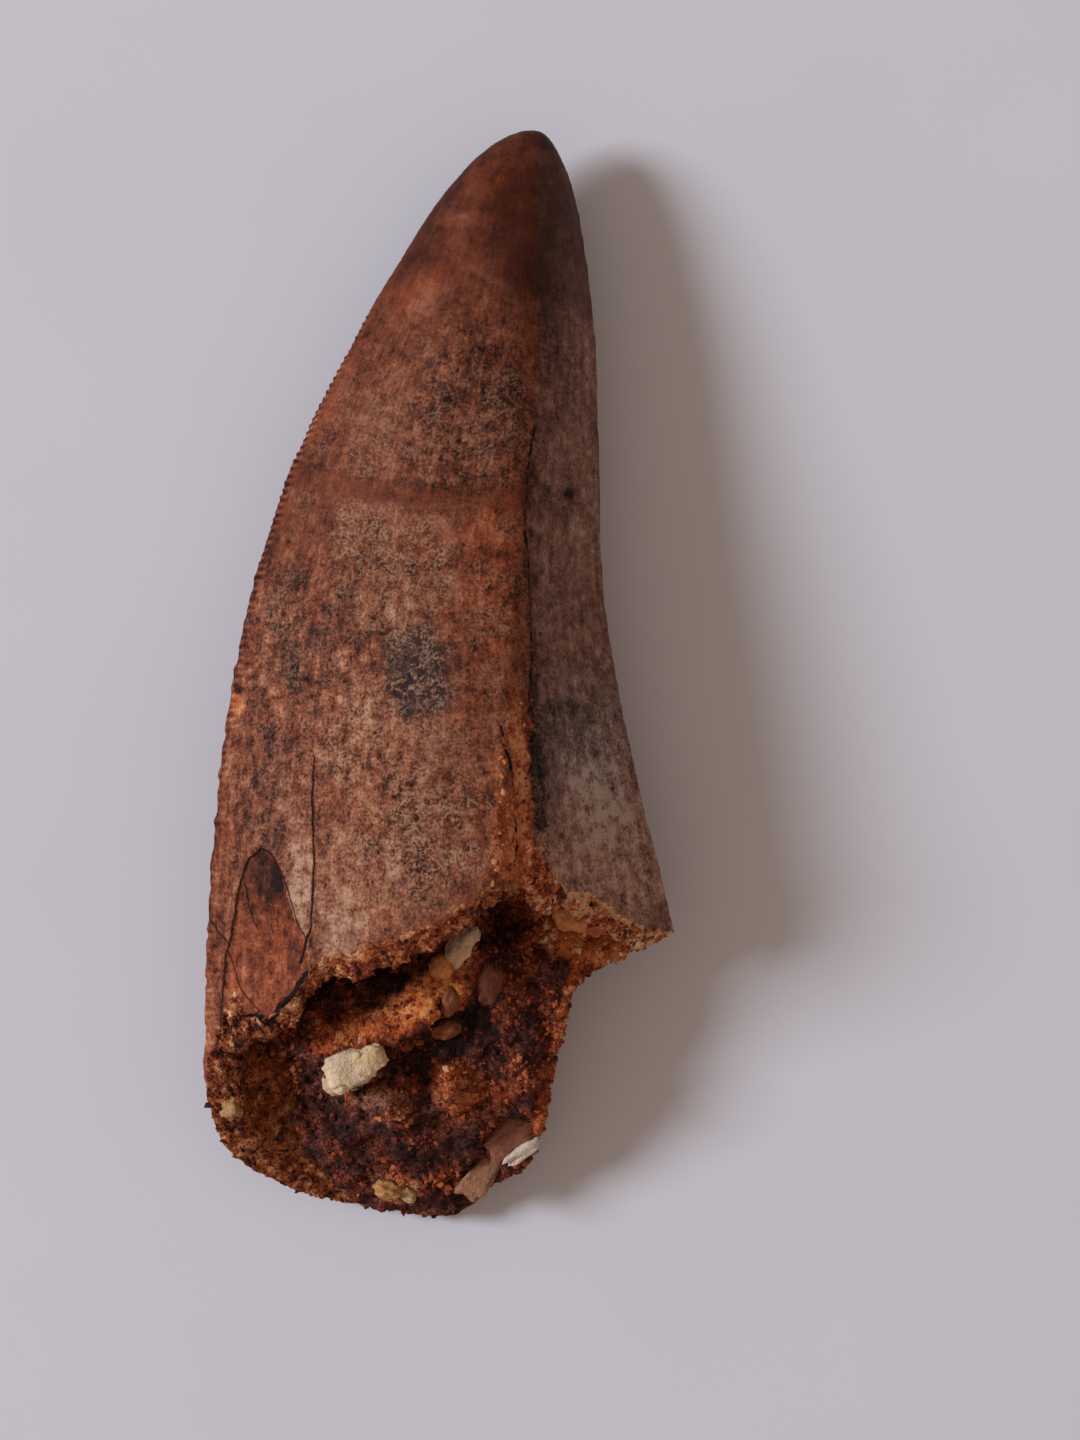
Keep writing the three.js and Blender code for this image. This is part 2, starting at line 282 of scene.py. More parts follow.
# Patches of the upper face, on top of the zones
enamelPatches = {
    "tip red": {"at": (3.6, 35.7), "size": (2.2, 1.2), "turn": 37, "tone": 0.08, "warmth": 0.3},
    "tip smear": {"at": (1.9, 32.7), "size": (2.2, 0.5), "turn": -8, "soft": 0.8, "tone": 0.15,
        "warmth": -0.1},
    "tip streak": {"at": (3.0, 28.7), "size": (2.7, 0.28), "turn": -33, "soft": 0.8, "tone": 0.12,
        "warmth": -0.4},
    "tip shade": {"at": (8.4, 34.6), "size": (1.5, 4.2), "turn": 8, "soft": 0.7, "tone": 0.02},
    "crest shade": {"at": (6.5, 27.6), "size": (1.7, 6.5), "soft": 0.8, "tone": -0.14, "fine": -0.2},
    # Painted shade where the face rounds over to the crest
    "crest painted shade": {"at": (5.2, 19.5), "size": (1.6, 6.0), "soft": 0.8, "tone": -0.08},
    # Painted sheen: a lighter band along the back edge of the flank
    "flank painted sheen": {"at": (10.5, 19.5), "size": (1.0, 10.0), "turn": 3, "soft": 0.8, "tone": 0.10,
        "warmth": -0.2},
    "shoulder orange": {"at": (-1.9, 27.2), "size": (2.0, 1.5), "turn": 35, "soft": 0.7, "tone": 0.24,
        "warmth": 0.3},
    "pink streaks": {"at": (-4.6, 17.3), "size": (1.9, 3.6), "turn": 10, "soft": 0.7, "tone": 0.06,
        "warmth": -0.2, "sugar": 0.4},
    "brown streaks": {"at": (2.5, 18.4), "size": (3.8, 5.6), "soft": 0.6, "tone": -0.14, "warmth": -0.2,
        "sugar": 0.2, "fine": 0.35},
    "upper margin": {"at": (-6.6, 20.0), "size": (2.4, 6.0), "turn": 30, "tone": -0.01, "warmth": 0.1,
        "fine": -0.3},
    "light patch": {"outline": [(-7.6, 11.7), (-5.8, 12.2), (-3.6, 12.2), (-1.4, 11.5), (0.5, 9.7),
        (1.4, 6.1), (0.0, 3.2), (-4.3, 2.5), (-7.2, 5.4)], "soft": 0.15, "tone": 0.04, "warmth": -0.2,
        "sugar": 0.5, "fine": 0.1},
    "light rim": {"at": (-4.5, 11.9), "size": (2.6, 0.4), "turn": -3, "tone": 0.13, "fine": -0.3},
    "light rim end": {"at": (0.2, 10.2), "size": (0.4, 1.8), "turn": 40, "tone": 0.12, "fine": -0.3},
    "front red": {"at": (-9.9, 7.6), "size": (2.2, 4.2), "turn": 14, "tone": -0.05, "warmth": 0.2,
        "fine": -0.2},
    "front mauve": {"at": (-11.4, 4.4), "size": (2.2, 1.5), "tone": -0.05, "warmth": -0.1, "sugar": 0.3},
    "crest orange": {"at": (3.7, 6.6), "size": (2.2, 5.2), "tone": -0.10, "warmth": 0.5, "sugar": 0.2},
    "fold orange": {"at": (3.6, 10.3), "size": (1.8, 1.5), "soft": 0.6, "tone": 0.09, "warmth": 0.3,
        "fine": -0.2},
    "mauve streak": {"at": (-10.6, 0.4), "size": (1.2, 1.9), "tone": -0.12, "warmth": -0.3, "sugar": 0.2},
    "maroon patch": {"at": (-6.9, 4.6), "size": (1.3, 1.7), "soft": 0.6, "tone": -0.12, "warmth": -0.2},
    "front maroon": {"at": (-10.9, 6.9), "size": (1.3, 1.6), "soft": 0.6, "tone": -0.10, "warmth": -0.1},
    "front blot": {"at": (-11.9, -4.2), "size": (0.6, 0.6), "soft": 0.6, "tone": -0.28},
    "tan streak": {"at": (-11.3, -1.6), "size": (0.5, 1.5), "turn": 4, "tone": 0.13, "warmth": 0.4},
    "tan middle": {"at": (-5.6, -4.4), "size": (2.8, 4.0), "soft": 0.6, "tone": 0.07, "sugar": 0.5,
        "fine": 0.3},
    "pale middle": {"at": (-1.2, -4.8), "size": (2.6, 1.8), "soft": 0.6, "tone": 0.12, "warmth": -0.1,
        "sugar": 0.5},
    "tan blotch": {"at": (-5.6, -9.1), "size": (2.3, 1.7), "tone": 0.08, "warmth": 0.3, "fine": -0.2},
    "grey clusters": {"at": (-0.9, -11.0), "size": (4.4, 4.3), "soft": 0.6, "warmth": -0.2, "sugar": 0.9,
        "fine": 0.4},
    "mauve band": {"at": (-11.9, -9.4), "size": (1.9, 2.8), "tone": 0.02, "warmth": -0.3},
    "lower tan": {"at": (-5.2, -15.2), "size": (2.7, 4.4), "tone": 0.18, "sugar": 0.3},
    "pale lip": {"at": (-6.6, -18.2), "size": (1.6, 1.8), "soft": 0.6, "tone": 0.22, "warmth": -0.5,
        "fine": -0.3},
    "tan strip": {"at": (-9.7, -14.8), "size": (0.9, 3.8), "tone": 0.31, "warmth": -0.5},
    "front tan": {"at": (-15.2, -13.8), "size": (1.1, 3.4), "tone": -0.02, "warmth": 0.1},
    "tip left": {"at": (0.8, 30.0), "size": (2.2, 1.8), "turn": 30, "soft": 0.7, "tone": 0.10,
        "warmth": 0.2},
    "front chip": {"at": (-14.5, -2.2), "size": (0.6, 0.9), "tone": 0.12, "warmth": 0.9},
    "front pit": {"at": (-14.3, -1.1), "size": (0.55, 0.45), "tone": -0.5},
    "orange ridge": {"at": (5.9, -7.4), "size": (0.6, 6.0), "turn": 4, "soft": 0.5, "tone": 0.31,
        "warmth": 1.2, "fine": 0.9},
    "orange panel": {"at": (4.7, -10.6), "size": (0.9, 4.0), "turn": 3, "soft": 0.4, "tone": 0.19,
        "warmth": 0.9, "fine": 0.2},
    "crest foot": {"at": (6.6, -13.4), "size": (2.0, 1.9), "soft": 0.6, "tone": 0.18, "warmth": 0.9,
        "fine": 0.6},
    "ridge shade": {"at": (7.1, -7.0), "size": (0.6, 7.0), "turn": 3, "soft": 0.7, "tone": -0.32,
        "fine": 0.4},
    "flank pink": {"at": (8.8, 16.2), "size": (0.9, 1.5), "tone": 0.13, "warmth": -0.2},
    "flank pink low": {"at": (10.1, 10.2), "size": (0.8, 1.1), "tone": 0.13, "warmth": -0.2},
    "flank spot": {"at": (9.4, 12.9), "size": (0.6, 0.3), "tone": -0.4},
    "flank middle": {"at": (9.6, 3.0), "size": (2.4, 6.0), "soft": 0.6, "tone": 0.08},
    "flank dusk": {"at": (11.2, -6.2), "size": (2.0, 3.6), "soft": 0.6, "tone": 0.24, "warmth": -0.4,
        "sugar": 0.3},
    "flank orange": {"at": (9.9, -8.4), "size": (1.2, 1.5), "warmth": 0.6},
    "flank low": {"at": (12.2, -12.8), "size": (3.6, 5.6), "soft": 0.8, "tone": 0.35, "warmth": 0.14,
        "sugar": 0.2, "fine": 0.4},
}

# Patches of the broken dentine
dentinePatches = {
    "back break": {"at": (12.4, -17.6), "size": (5.0, 2.6), "turn": -22, "tone": 0.34, "warmth": 1.0,
        "fine": 0.6},
    "foot crumbs": {"at": (6.9, -13.8), "size": (1.9, 2.2), "tone": 0.06, "warmth": 1.0, "fine": 0.5},
    "face break": {"at": (-2.0, -18.6), "size": (7.0, 3.0), "turn": 22, "tone": 0.05, "warmth": 0.8},
    "cream bit": {"at": (10.2, -16.5), "size": (0.8, 0.5), "tone": 0.40},
    "cream speck": {"at": (13.4, -18.3), "size": (0.5, 0.4), "tone": 0.40},
    "front wall": {"at": (-13.0, -29.5), "size": (4.6, 6.0), "tone": -0.03},
    "front rim": {"at": (-13.4, -26.0), "size": (4.0, 1.9), "tone": -0.14, "fine": 0.3},
    "hollow": {"at": (-10.6, -31.4), "size": (3.8, 4.4), "turn": 35, "tone": 0.02, "fine": -0.3},
    "upper hollow": {"at": (-12.4, -27.2), "size": (1.7, 2.0), "tone": 0.02, "fine": -0.6},
    "lower rim": {"at": (-7.0, -36.6), "size": (5.0, 1.6), "turn": -20, "tone": 0.06},
    "rim cream": {"at": (-2.8, -37.7), "size": (2.0, 1.0), "turn": -15, "tone": 0.40},
}

# Cracks from one end to the other, with their half width, and how far they break into dashes. Those that meet
# are in different sets.
toothCracks = {
    "crest crack": {"set": 0, "half": 0.06, "dashed": 1.0, "path": [(6.9, 17.4), (6.5, 15.3), (6.2, 11.2),
        (6.5, 5.6), (6.7, 0.8), (6.4, -2.8)]},
    "face crack": {"set": 0, "half": 0.05, "path": [(-8.7, -5.9), (-8.8, -9.1), (-8.6, -12.8),
        (-8.8, -18.0)]},
    "flake front": {"set": 0, "half": 0.03, "path": [(-12.5, -12.4), (-13.6, -13.3), (-14.3, -15.4),
        (-14.7, -18.0), (-15.2, -20.2), (-15.4, -22.2), (-15.7, -26.0)]},
    "flake foot": {"set": 0, "half": 0.28, "path": [(-9.3, -21.2), (-10.1, -22.5), (-11.5, -23.9)]},
    "flake jag": {"set": 1, "half": 0.10, "path": [(-11.3, -24.2), (-12.2, -24.9), (-13.0, -24.3),
        (-13.9, -24.4)]},
    "flake back": {"set": 1, "half": 0.04, "path": [(-12.5, -12.4), (-11.8, -12.8), (-11.1, -14.0),
        (-10.5, -15.5), (-9.9, -17.6), (-9.3, -18.6)]},
    "cleft crack": {"set": 1, "half": 0.06, "dashed": 1.0, "path": [(4.6, -3.7), (5.2, -6.2), (5.5, -9.1),
        (5.7, -12.0), (5.5, -13.6)]},
    "flake wedge": {"set": 1, "half": 0.02, "path": [(-15.1, -19.9), (-14.3, -22.4), (-12.4, -24.5)]},
    "margin crack": {"set": 2, "half": 0.035, "path": [(-16.8, -17.3), (-16.1, -18.2), (-15.2, -19.1)]},
    "face branch": {"set": 2, "half": 0.09, "path": [(-8.8, -18.0), (-9.4, -19.3), (-9.7, -20.4)]},
    "flake arc": {"set": 2, "half": 0.02, "path": [(-13.9, -14.9), (-13.6, -16.6), (-13.0, -18.0)]},
}


# For each place, the distance to the nearest line of a set, that line's half width near it, and its dashes
def lineFields(x, y, lines, where):
    away = np.full(x.shape, 9.0)
    half = np.zeros(x.shape)
    dash = np.zeros(x.shape)
    for line in lines:
        signed, past = lineDistance(x, y, line["path"])
        nearest = np.abs(signed) < np.abs(away)
        away = np.where(nearest, signed, away)
        width = line["half"] * (1 - smoothStep(0.0, 0.5, past)) * (np.abs(signed) < 0.9)
        half = np.where(nearest, width, half)
        dash = np.where(nearest, line.get("dashed", 0.2), dash)
    return np.stack([away, half * where, dash], axis=1)


def toothFields(mesh):
    place, facing = meshPoints(mesh)
    x, y, z = place.T
    steps = np.arange(-39, 39.2, 0.6)
    slices = [place[np.abs(y - step) < 0.6] for step in steps]
    front = np.interp(y, steps, [s[:, 0].min() for s in slices])
    back = np.interp(y, steps, [s[:, 0].max() for s in slices])
    back = np.maximum(back, np.where(y < -17, 16.5, -99))   # the missing back wall keeps the fibres straight
    across = (x - front) / (back - front)
    rx, ry, _ = ragged(place, 0.35, 1.3).T

    # Outer skin or broken face: a broken one looks to the base, into the cavity, or up from under the roof
    centreX = (front + back) / 2
    centreZ = np.interp(y, [-40, -16, 20, 39], [8.6, 8.2, 6.2, 4.8])
    outward = facing[:, 0] * (x - centreX) * 0.5 + facing[:, 2] * (z - centreZ)
    edge = np.array(enamelEdge)
    overEdge = 0.4 * y + 0.6 * ry - np.interp(0.4 * x + 0.6 * rx, edge[:, 0], edge[:, 1])
    towardsBase = smoothStep(0.35, 0.6, -facing[:, 1]) * (y < -12)
    underRoof = (overEdge < 0.1) * smoothStep(0.0, 0.3, facing[:, 2]) * smoothStep(0.25, 0.5, x - front)
    inside = (outward < 0) * (y < -2)
    backStub = (x > 7.4) * (y < -20.6) * smoothStep(0.4, 0.7, facing[:, 0])
    backBreak = (x > 7.4) * smoothStep(-0.1, -0.4, overEdge) * smoothStep(-0.4, -0.1, facing[:, 2])
    strip = np.array(cleftStrip["path"])
    stripAway, stripPast = lineDistance(rx, ry, cleftStrip["path"])
    stripHalf = np.interp(y, strip[::-1, 1], cleftStrip["half"][::-1])
    cleft = smoothStep(0.15, -0.15, np.abs(stripAway) - stripHalf) * (stripPast < 0.3) * (facing[:, 2] > 0)
    bare = np.maximum.reduce([towardsBase, underRoof, inside * 1.0, backStub, backBreak]) * (1 - cleft)
    broken = np.maximum(bare, 0.5 * cleft)
    upper = smoothStep(-0.1, 0.35, facing[:, 2]) * (1 - bare)

    # Zones of the skin
    flank = smoothStep(-0.5, 0.6, x - np.interp(y, [-15, 0, 12, 22, 39], [6.9, 6.8, 6.4, 7.2, 7.2]))
    tip = smoothStep(22, 31, y)
    fold = np.array(foldLine)
    overFold = ry * 0.5 + y * 0.5 - np.interp(x, fold[:, 0], fold[:, 1])
    ends = upper * smoothStep(7.0, 5.5, x)
    wrinkle = ends * smoothStep(1.1, 0.6, np.abs(overFold))
    # Two thin lines at the fold's edges, darkened as painted shade of its creases
    crease = ends * (np.exp(-((overFold - 1.0) / 0.2) ** 2) + 0.6 * np.exp(-((overFold + 1.0) / 0.2) ** 2))
    margin = smoothStep(0.10, 0.0, across) * upper
    # A thin line on the front edge, darkened as painted shade of the edge
    rim = smoothStep(0.03, 0.0, across) * upper * smoothStep(-20, -14, y)
    stain = smoothStep(0.07, 0.03, across + 0.012 * (rx - x)) * upper
    stain *= smoothStep(14.8, 14.0, ry) * smoothStep(5, 8, ry)
    # A band beside the crest crack, wider on the flank side, darkened as painted shade
    groove, past = lineDistance(rx, ry, toothCracks["crest crack"]["path"])
    groove = np.where(groove > 0, smoothStep(1.0, 0.0, groove), smoothStep(0.35, 0.0, -groove))
    side = flank * (1 - bare) * smoothStep(-0.8, 0.2, facing[:, 2])
    zones = {
        "tip": tip, "fold": wrinkle, "fold crease shade": crease, "front margin": margin, "front rim": rim,
        "front stain": stain, "flank": side,
        "front side": smoothStep(0.30, 0.12, across) * smoothStep(-22, -19, y),
        "front middle": smoothStep(10, 6, y) * smoothStep(0.55, 0.3, across) * upper,
        "shade by the crest crack": groove * (past < 1) * upper,
        "grainy face": upper * smoothStep(24, 18, y) * (1 - 0.5 * flank) * (1 - wrinkle) * (1 - margin),
    }
    fields = {name: np.full(x.shape, value) for name, value in skinLook.items()}
    for zone, share in zones.items():
        for name, amount in skinZones[zone].items():
            fields[name] += share * amount

    # Patches, and the scar of the flake
    flake = insideDistance(rx * 0.3 + x * 0.7, ry * 0.3 + y * 0.7, flakeOutline)
    flake = smoothStep(-0.12, 0.12, flake) * upper
    for where, patches in ((upper * (1 - flake), enamelPatches), (bare, dentinePatches)):
        for patch in patches.values():
            soft = patch.get("soft", 0.45)
            if "outline" in patch:
                share = where * smoothStep(-soft, soft, insideDistance(rx, ry, patch["outline"]))
            else:
                share = where * oval(rx, ry, patch["at"], patch["size"], patch.get("turn", 0), soft)
            for name, values in fields.items():
                values += share * patch.get(name, 0.0)
    fields["fine"] -= 0.4 * flake
    fields["sugar"] *= 1 - flake
    fields["tone"] -= 0.25 * flake * oval(rx, ry, (-12.0, -14.2), (2.2, 2.6), 0, 0.7)   # its shaded top
    fields["tone"] -= 0.35 * flake * oval(rx, ry, (-11.5, -14.6), (0.5, 0.7))           # and a pit
    fields["warmth"] += flake * (0.35 + 0.3 * smoothStep(-15, -19, ry))
    fields["tone"] -= 0.35 * inside * (overEdge > 0.4) * (1 - cleft)

    # Stains, worn serrations, and where the skin is broken or fades
    char = np.zeros(x.shape)
    wx, wy, _ = ragged(place, 1.3, 2.6).T
    for outline in charOutlines:
        depth = insideDistance(0.5 * (rx + wx), 0.5 * (ry + wy), outline)
        char = np.maximum(char, smoothStep(-1.2, 1.0, depth))
    fields["char"] = char * upper * (1 - 0.35 * flank)
    fields["sugar"] += 0.7 * fields["char"] * (x < 5)
    fields["tip"] = tip * upper
    keen = np.interp(y, serration["keenAt"], serration["keen"])
    fields["notched"] = smoothStep(0.05, 0.01, across) * keen * upper
    fields["broken"] = broken
    fields["bare"] = bare
    fields["faded"] = side * (0.20 + 0.22 * oval(rx, ry, (11.0, -5.5), (3.4, 5.0), 0, 0.6))
    atFront = smoothStep(0.03, 0.0, across)
    atBack = smoothStep(0.97, 1.0, across)
    fields["iron"] = (1 - broken) * (1 - 0.6 * atFront - 0.6 * atBack)

    # Crumbs: how many show, and their tint
    crumbs = smoothStep(-0.2, -0.6, overEdge) * smoothStep(-5.5, -2.5, overEdge)
    crumbs *= smoothStep(0.1, 0.5, facing[:, 2]) * (x > -9.5)
    shown = bare * np.maximum(crumbs, 0.5 * (y < -24.5) * (facing[:, 2] > 0.2))
    fields["shown"] = np.maximum(shown, 0.4 * cleft * smoothStep(-1.0, -4.0, y))
    onBack = x > 7.5
    clump = np.array([noise.noise(Vector(p / 1.4)) for p in place])
    rimCream = oval(rx, ry, (-3.2, -37.6), (1.9, 1.1))
    fields["tint"] = 0.42 + 0.08 * onBack + 0.18 * cleft - 0.12 * (y < -25) + 0.55 * rimCream
    fields["tint"] += (0.25 + 0.35 * onBack) * clump

    # Relief: the fold, the scar of the flake and the worn front edge
    wear = np.sin(2.9 * y + 1.3 * np.sin(1.7 * y)) * np.sin(1.1 * y + 0.4) - 0.4
    lift = toothLook["wrinkle"] * wrinkle - toothLook["flakeDepth"] * flake
    lift += (toothLook["edgeWear"] * np.minimum(wear, 0.2) * smoothStep(0.035, 0.0, across)
             * smoothStep(12, 2, y))
    fields["lift"] = lift * mm
    for name, values in fields.items():
        storeField(mesh, name, values)
    for i in range(3):
        lines = [crack for crack in toothCracks.values() if crack["set"] == i]
        storeField(mesh, "cracks" + str(i), lineFields(x, y, lines, smoothStep(0.0, 0.3, facing[:, 2])))
    # Lengthwise fibres run with the tooth and close up towards the tip
    storeField(mesh, "flow", np.stack([(across - 0.5) * toothLook["width"], y, z], axis=1) * mm)


reliefKinds = ("Swell", "Flute", "Crumble", "Granule")


# Relief: irons the facets, lifts waves and flutes on the skin, and crumbles what is broken
def reliefTree():
    inputs = {"Smooth Steps": "Int"}
    for label in reliefKinds:
        inputs[label] = "Float"
        inputs[label + " Size"] = "Float"
    tree, given, shape = newTree("relief", inputs)
    field = {}
    for name, kind in (("broken", "FLOAT"), ("iron", "FLOAT"), ("lift", "FLOAT"), ("flow", "FLOAT_VECTOR")):
        field[name] = shape("GeometryNodeInputNamedAttribute", {"Name": name}, data_type=kind)
    broken = field["broken"]
    whole = shape("ShaderNodeMath", {0: 1.0, 1: broken}, operation="SUBTRACT")
    position = shape("GeometryNodeInputPosition")
    ironed = shape("GeometryNodeBlurAttribute", {
        "Value": position, "Iterations": given["Smooth Steps"], "Weight": field["iron"]},
        data_type="FLOAT_VECTOR")
    smooth = shape("GeometryNodeSetPosition", {"Geometry": given["Geometry"], "Position": ironed})

    scale = {}
    for label in reliefKinds:
        scale[label] = shape("ShaderNodeMath", {0: 1.0, 1: given[label + " Size"]}, operation="DIVIDE")
    long = shape("ShaderNodeVectorMath", {0: field["flow"], 1: (1.0, 0.12, 0.4)}, operation="MULTIPLY")
    swell = shape("ShaderNodeTexNoise", {"Vector": position, "Scale": scale["Swell"], "Detail": 2.0})
    flute = shape("ShaderNodeTexNoise", {"Vector": long, "Scale": scale["Flute"], "Detail": 3.0})
    crumble = shape("ShaderNodeTexNoise", {
        "Vector": position, "Scale": scale["Crumble"], "Detail": 4.0, "Roughness": 0.62})
    granule = shape("ShaderNodeTexVoronoi", {"Vector": position, "Scale": scale["Granule"]}, out="Distance")
    granule = shape("ShaderNodeMath", {0: 1.0, 1: granule}, operation="SUBTRACT")

    rise = field["lift"]
    patterns = (swell, flute, crumble, granule)
    shares = (2.0, whole, broken, broken)
    for label, pattern, share in zip(reliefKinds, patterns, shares):
        level = shape("ShaderNodeMath", {0: pattern, 1: 0.5}, operation="SUBTRACT")
        level = shape("ShaderNodeMath", {0: level, 1: given[label]}, operation="MULTIPLY")
        rise = shape("ShaderNodeMath", {0: level, 1: share, 2: rise}, operation="MULTIPLY_ADD")
    normal = shape("GeometryNodeInputNormal")
    offset = shape("ShaderNodeVectorMath", {"Vector": normal, "Scale": rise}, operation="SCALE")
    raised = shape("GeometryNodeSetPosition", {"Geometry": smooth, "Offset": offset})
    shape("NodeGroupOutput", {"Geometry": raised})
    return tree


# The tree's inputs from a piece's own look
def reliefValues(look):
    values = {"Smooth Steps": look["smoothSteps"]}
    for label in reliefKinds:
        values[label] = look.get(label.lower(), 0.0) * mm
        values[label + " Size"] = look.get(label.lower() + "Size", 1.0) * mm
    return values


# Nothing reaches below the sheet
def settle(mesh):
    place = np.empty(len(mesh.vertices) * 3)
    mesh.vertices.foreach_get("co", place)
    place[2::3] = np.maximum(place[2::3], 0)
    mesh.vertices.foreach_set("co", place)
    mesh.update()


# Mineralised enamel over dentine: satin, red-brown, with fibres along the tooth, pale sugar-like grains and
# charcoal stains. Where it is broken, the dentine shows dull, crumbly and orange-brown.
enamelColours = {
    "cool": ["#190c09", "#402218", "#6c3f2d", "#90624a", "#b59178"],
    "warm": ["#1d0b07", "#4b2012", "#783b23", "#9b5a3b", "#bc8763"],
    "rust": ["#1c0904", "#5f2714", "#a34f2a", "#c06c40", "#d19264"],
    "dentine": ["#120502", "#43190d", "#864526", "#b7794c", "#dcbc98"],
    "char": "#2b2324", "vein": "#b28c70", "crack": "#0d0604",
}


def enamelMaterial():
    material, paint = newMaterial("mineralised enamel and dentine")
    here = paint("TexCoord", out="Object")
    flow = paint("Attribute", attribute_name="flow", out="Vector")
    field = {name: paint("Attribute", attribute_name=name, out="Fac")
             for name in ("tone", "warmth", "sugar", "fine", "char", "tip", "bare", "faded", "notched")}

    mottle = paint("TexNoise", {"Vector": here, "Scale": perMm(3.5), "Detail": 4.0, "Roughness": 0.6})
    blotch = paint("TexNoise", {"Vector": here, "Scale": perMm(0.9), "Detail": 4.0, "Roughness": 0.65})
    grain = paint("TexNoise", {"Vector": here, "Scale": perMm(0.22), "Detail": 2.0, "Roughness": 0.7})
    along = paint("Mapping", {"Vector": flow, "Scale": (1.0, 0.13, 0.5)})
    fibre = paint("TexNoise", {"Vector": along, "Scale": perMm(0.45), "Detail": 4.0, "Roughness": 0.6})

    # Crackle: pale winding veins round dark cells, in clouds
    cloud = paint("TexNoise", {"Vector": here, "Scale": perMm(2.4), "Detail": 3.0, "Roughness": 0.6})
    cloud = paint("MapRange", {0: cloud, 1: 0.36, 2: 0.60})
    cloud = paint("Math", {0: cloud, 1: field["sugar"]}, operation="MULTIPLY", use_clamp=True)
    vein = 0.0
    for size, wide in ((1.7, 0.050), (0.95, 0.070)):
        turn = paint("TexNoise", {
            "Vector": here, "Scale": perMm(size), "Detail": 2.5, "Roughness": 0.55, "Distortion": 0.6})
        turn = paint("Math", {0: turn, 1: 0.5}, operation="SUBTRACT")
        turn = paint("Math", {0: turn}, operation="ABSOLUTE")
        turn = paint("MapRange", {0: turn, 1: 0.0, 2: wide, 3: 1.0, 4: 0.0})
        vein = paint("Math", {0: vein, 1: turn}, operation="MAXIMUM")
    patchy = paint("MapRange", {0: grain, 1: 0.38, 2: 0.56})
    vein = paint("Math", {0: vein, 1: patchy}, operation="MULTIPLY")
    vein = paint("Math", {0: vein, 1: cloud}, operation="MULTIPLY")

    # Tone: fine texture about nothing, dark pits, and the zones and patches
    texture = 0.0
    for pattern, weight in ((blotch, 1.00), (fibre, 0.60), (grain, 0.65)):
        centred = paint("Math", {0: pattern, 1: 0.5}, operation="SUBTRACT")
        texture = paint("Math", {0: centred, 1: weight, 2: texture}, operation="MULTIPLY_ADD")
    tone = paint("Math", {0: texture, 1: field["fine"], 2: field["tone"]}, operation="MULTIPLY_ADD")
    broad = paint("Math", {0: mottle, 1: 0.5}, operation="SUBTRACT")
    tone = paint("Math", {0: broad, 1: 0.6, 2: tone}, operation="MULTIPLY_ADD")
    tone = paint("Math", {0: cloud, 1: -0.04, 2: tone}, operation="MULTIPLY_ADD")
    pits = paint("TexNoise", {"Vector": here, "Scale": perMm(0.62), "Detail": 3.0, "Roughness": 0.62})
    pits = paint("MapRange", {0: pits, 1: 0.43, 2: 0.31})
    pits = paint("Math", {0: pits, 1: field["fine"]}, operation="MULTIPLY")
    tone = paint("Math", {0: pits, 1: -0.16, 2: tone}, operation="MULTIPLY_ADD")
    # Notches between the serrations, dark, with the pitch of the beads
    notch = paint("SeparateXYZ", {0: flow}, out="Y")
    notch = paint("Math", {0: notch, 1: 2 * math.pi / (serration["pitch"] * mm)}, operation="MULTIPLY")
    notch = paint("Math", {0: notch}, operation="SINE")
    notch = paint("Math", {0: notch, 1: field["notched"]}, operation="MULTIPLY")
    tone = paint("Math", {0: notch, 1: 0.32, 2: tone}, operation="MULTIPLY_ADD")
    drift = paint("Math", {0: fibre, 1: 0.5}, operation="SUBTRACT")
    lean = paint("Math", {0: broad, 1: -1.2, 2: drift}, operation="MULTIPLY_ADD")
    warmth = paint("Math", {0: lean, 1: 1.1, 2: field["warmth"]}, operation="MULTIPLY_ADD")
    skin = {}
    for name in ("cool", "warm", "rust"):
        skin[name] = paint("ValToRGB", {0: tone}, out="Color")
        setStops(skin[name].node.color_ramp, enamelColours[name])
    colour = paint("Mix", {"Factor": warmth, "A": skin["cool"], "B": skin["warm"]},
                   data_type="RGBA", out="Result")
    rusty = paint("MapRange", {0: warmth, 1: 1.1, 2: 1.8})
    colour = paint("Mix", {"Factor": rusty, "A": colour, "B": skin["rust"]}, data_type="RGBA", out="Result")
    vivid = paint("Math", {0: 1.0, 1: field["faded"]}, operation="SUBTRACT")
    colour = paint("HueSaturation", {"Saturation": vivid, "Color": colour})
    torn = paint("Math", {0: texture, 1: -1.1, 2: field["char"]}, operation="MULTIPLY_ADD")
    charred = paint("MapRange", {0: torn, 1: 0.25, 2: 0.95, 4: 0.82})
    colour = paint("Mix", {"Factor": charred, "A": colour, "B": linearColour(enamelColours["char"])},
                   data_type="RGBA", out="Result")
    veinShare = paint("Math", {0: vein, 1: 0.85}, operation="MULTIPLY")
    colour = paint("Mix", {"Factor": veinShare, "A": colour, "B": linearColour(enamelColours["vein"])},
                   data_type="RGBA", out="Result")

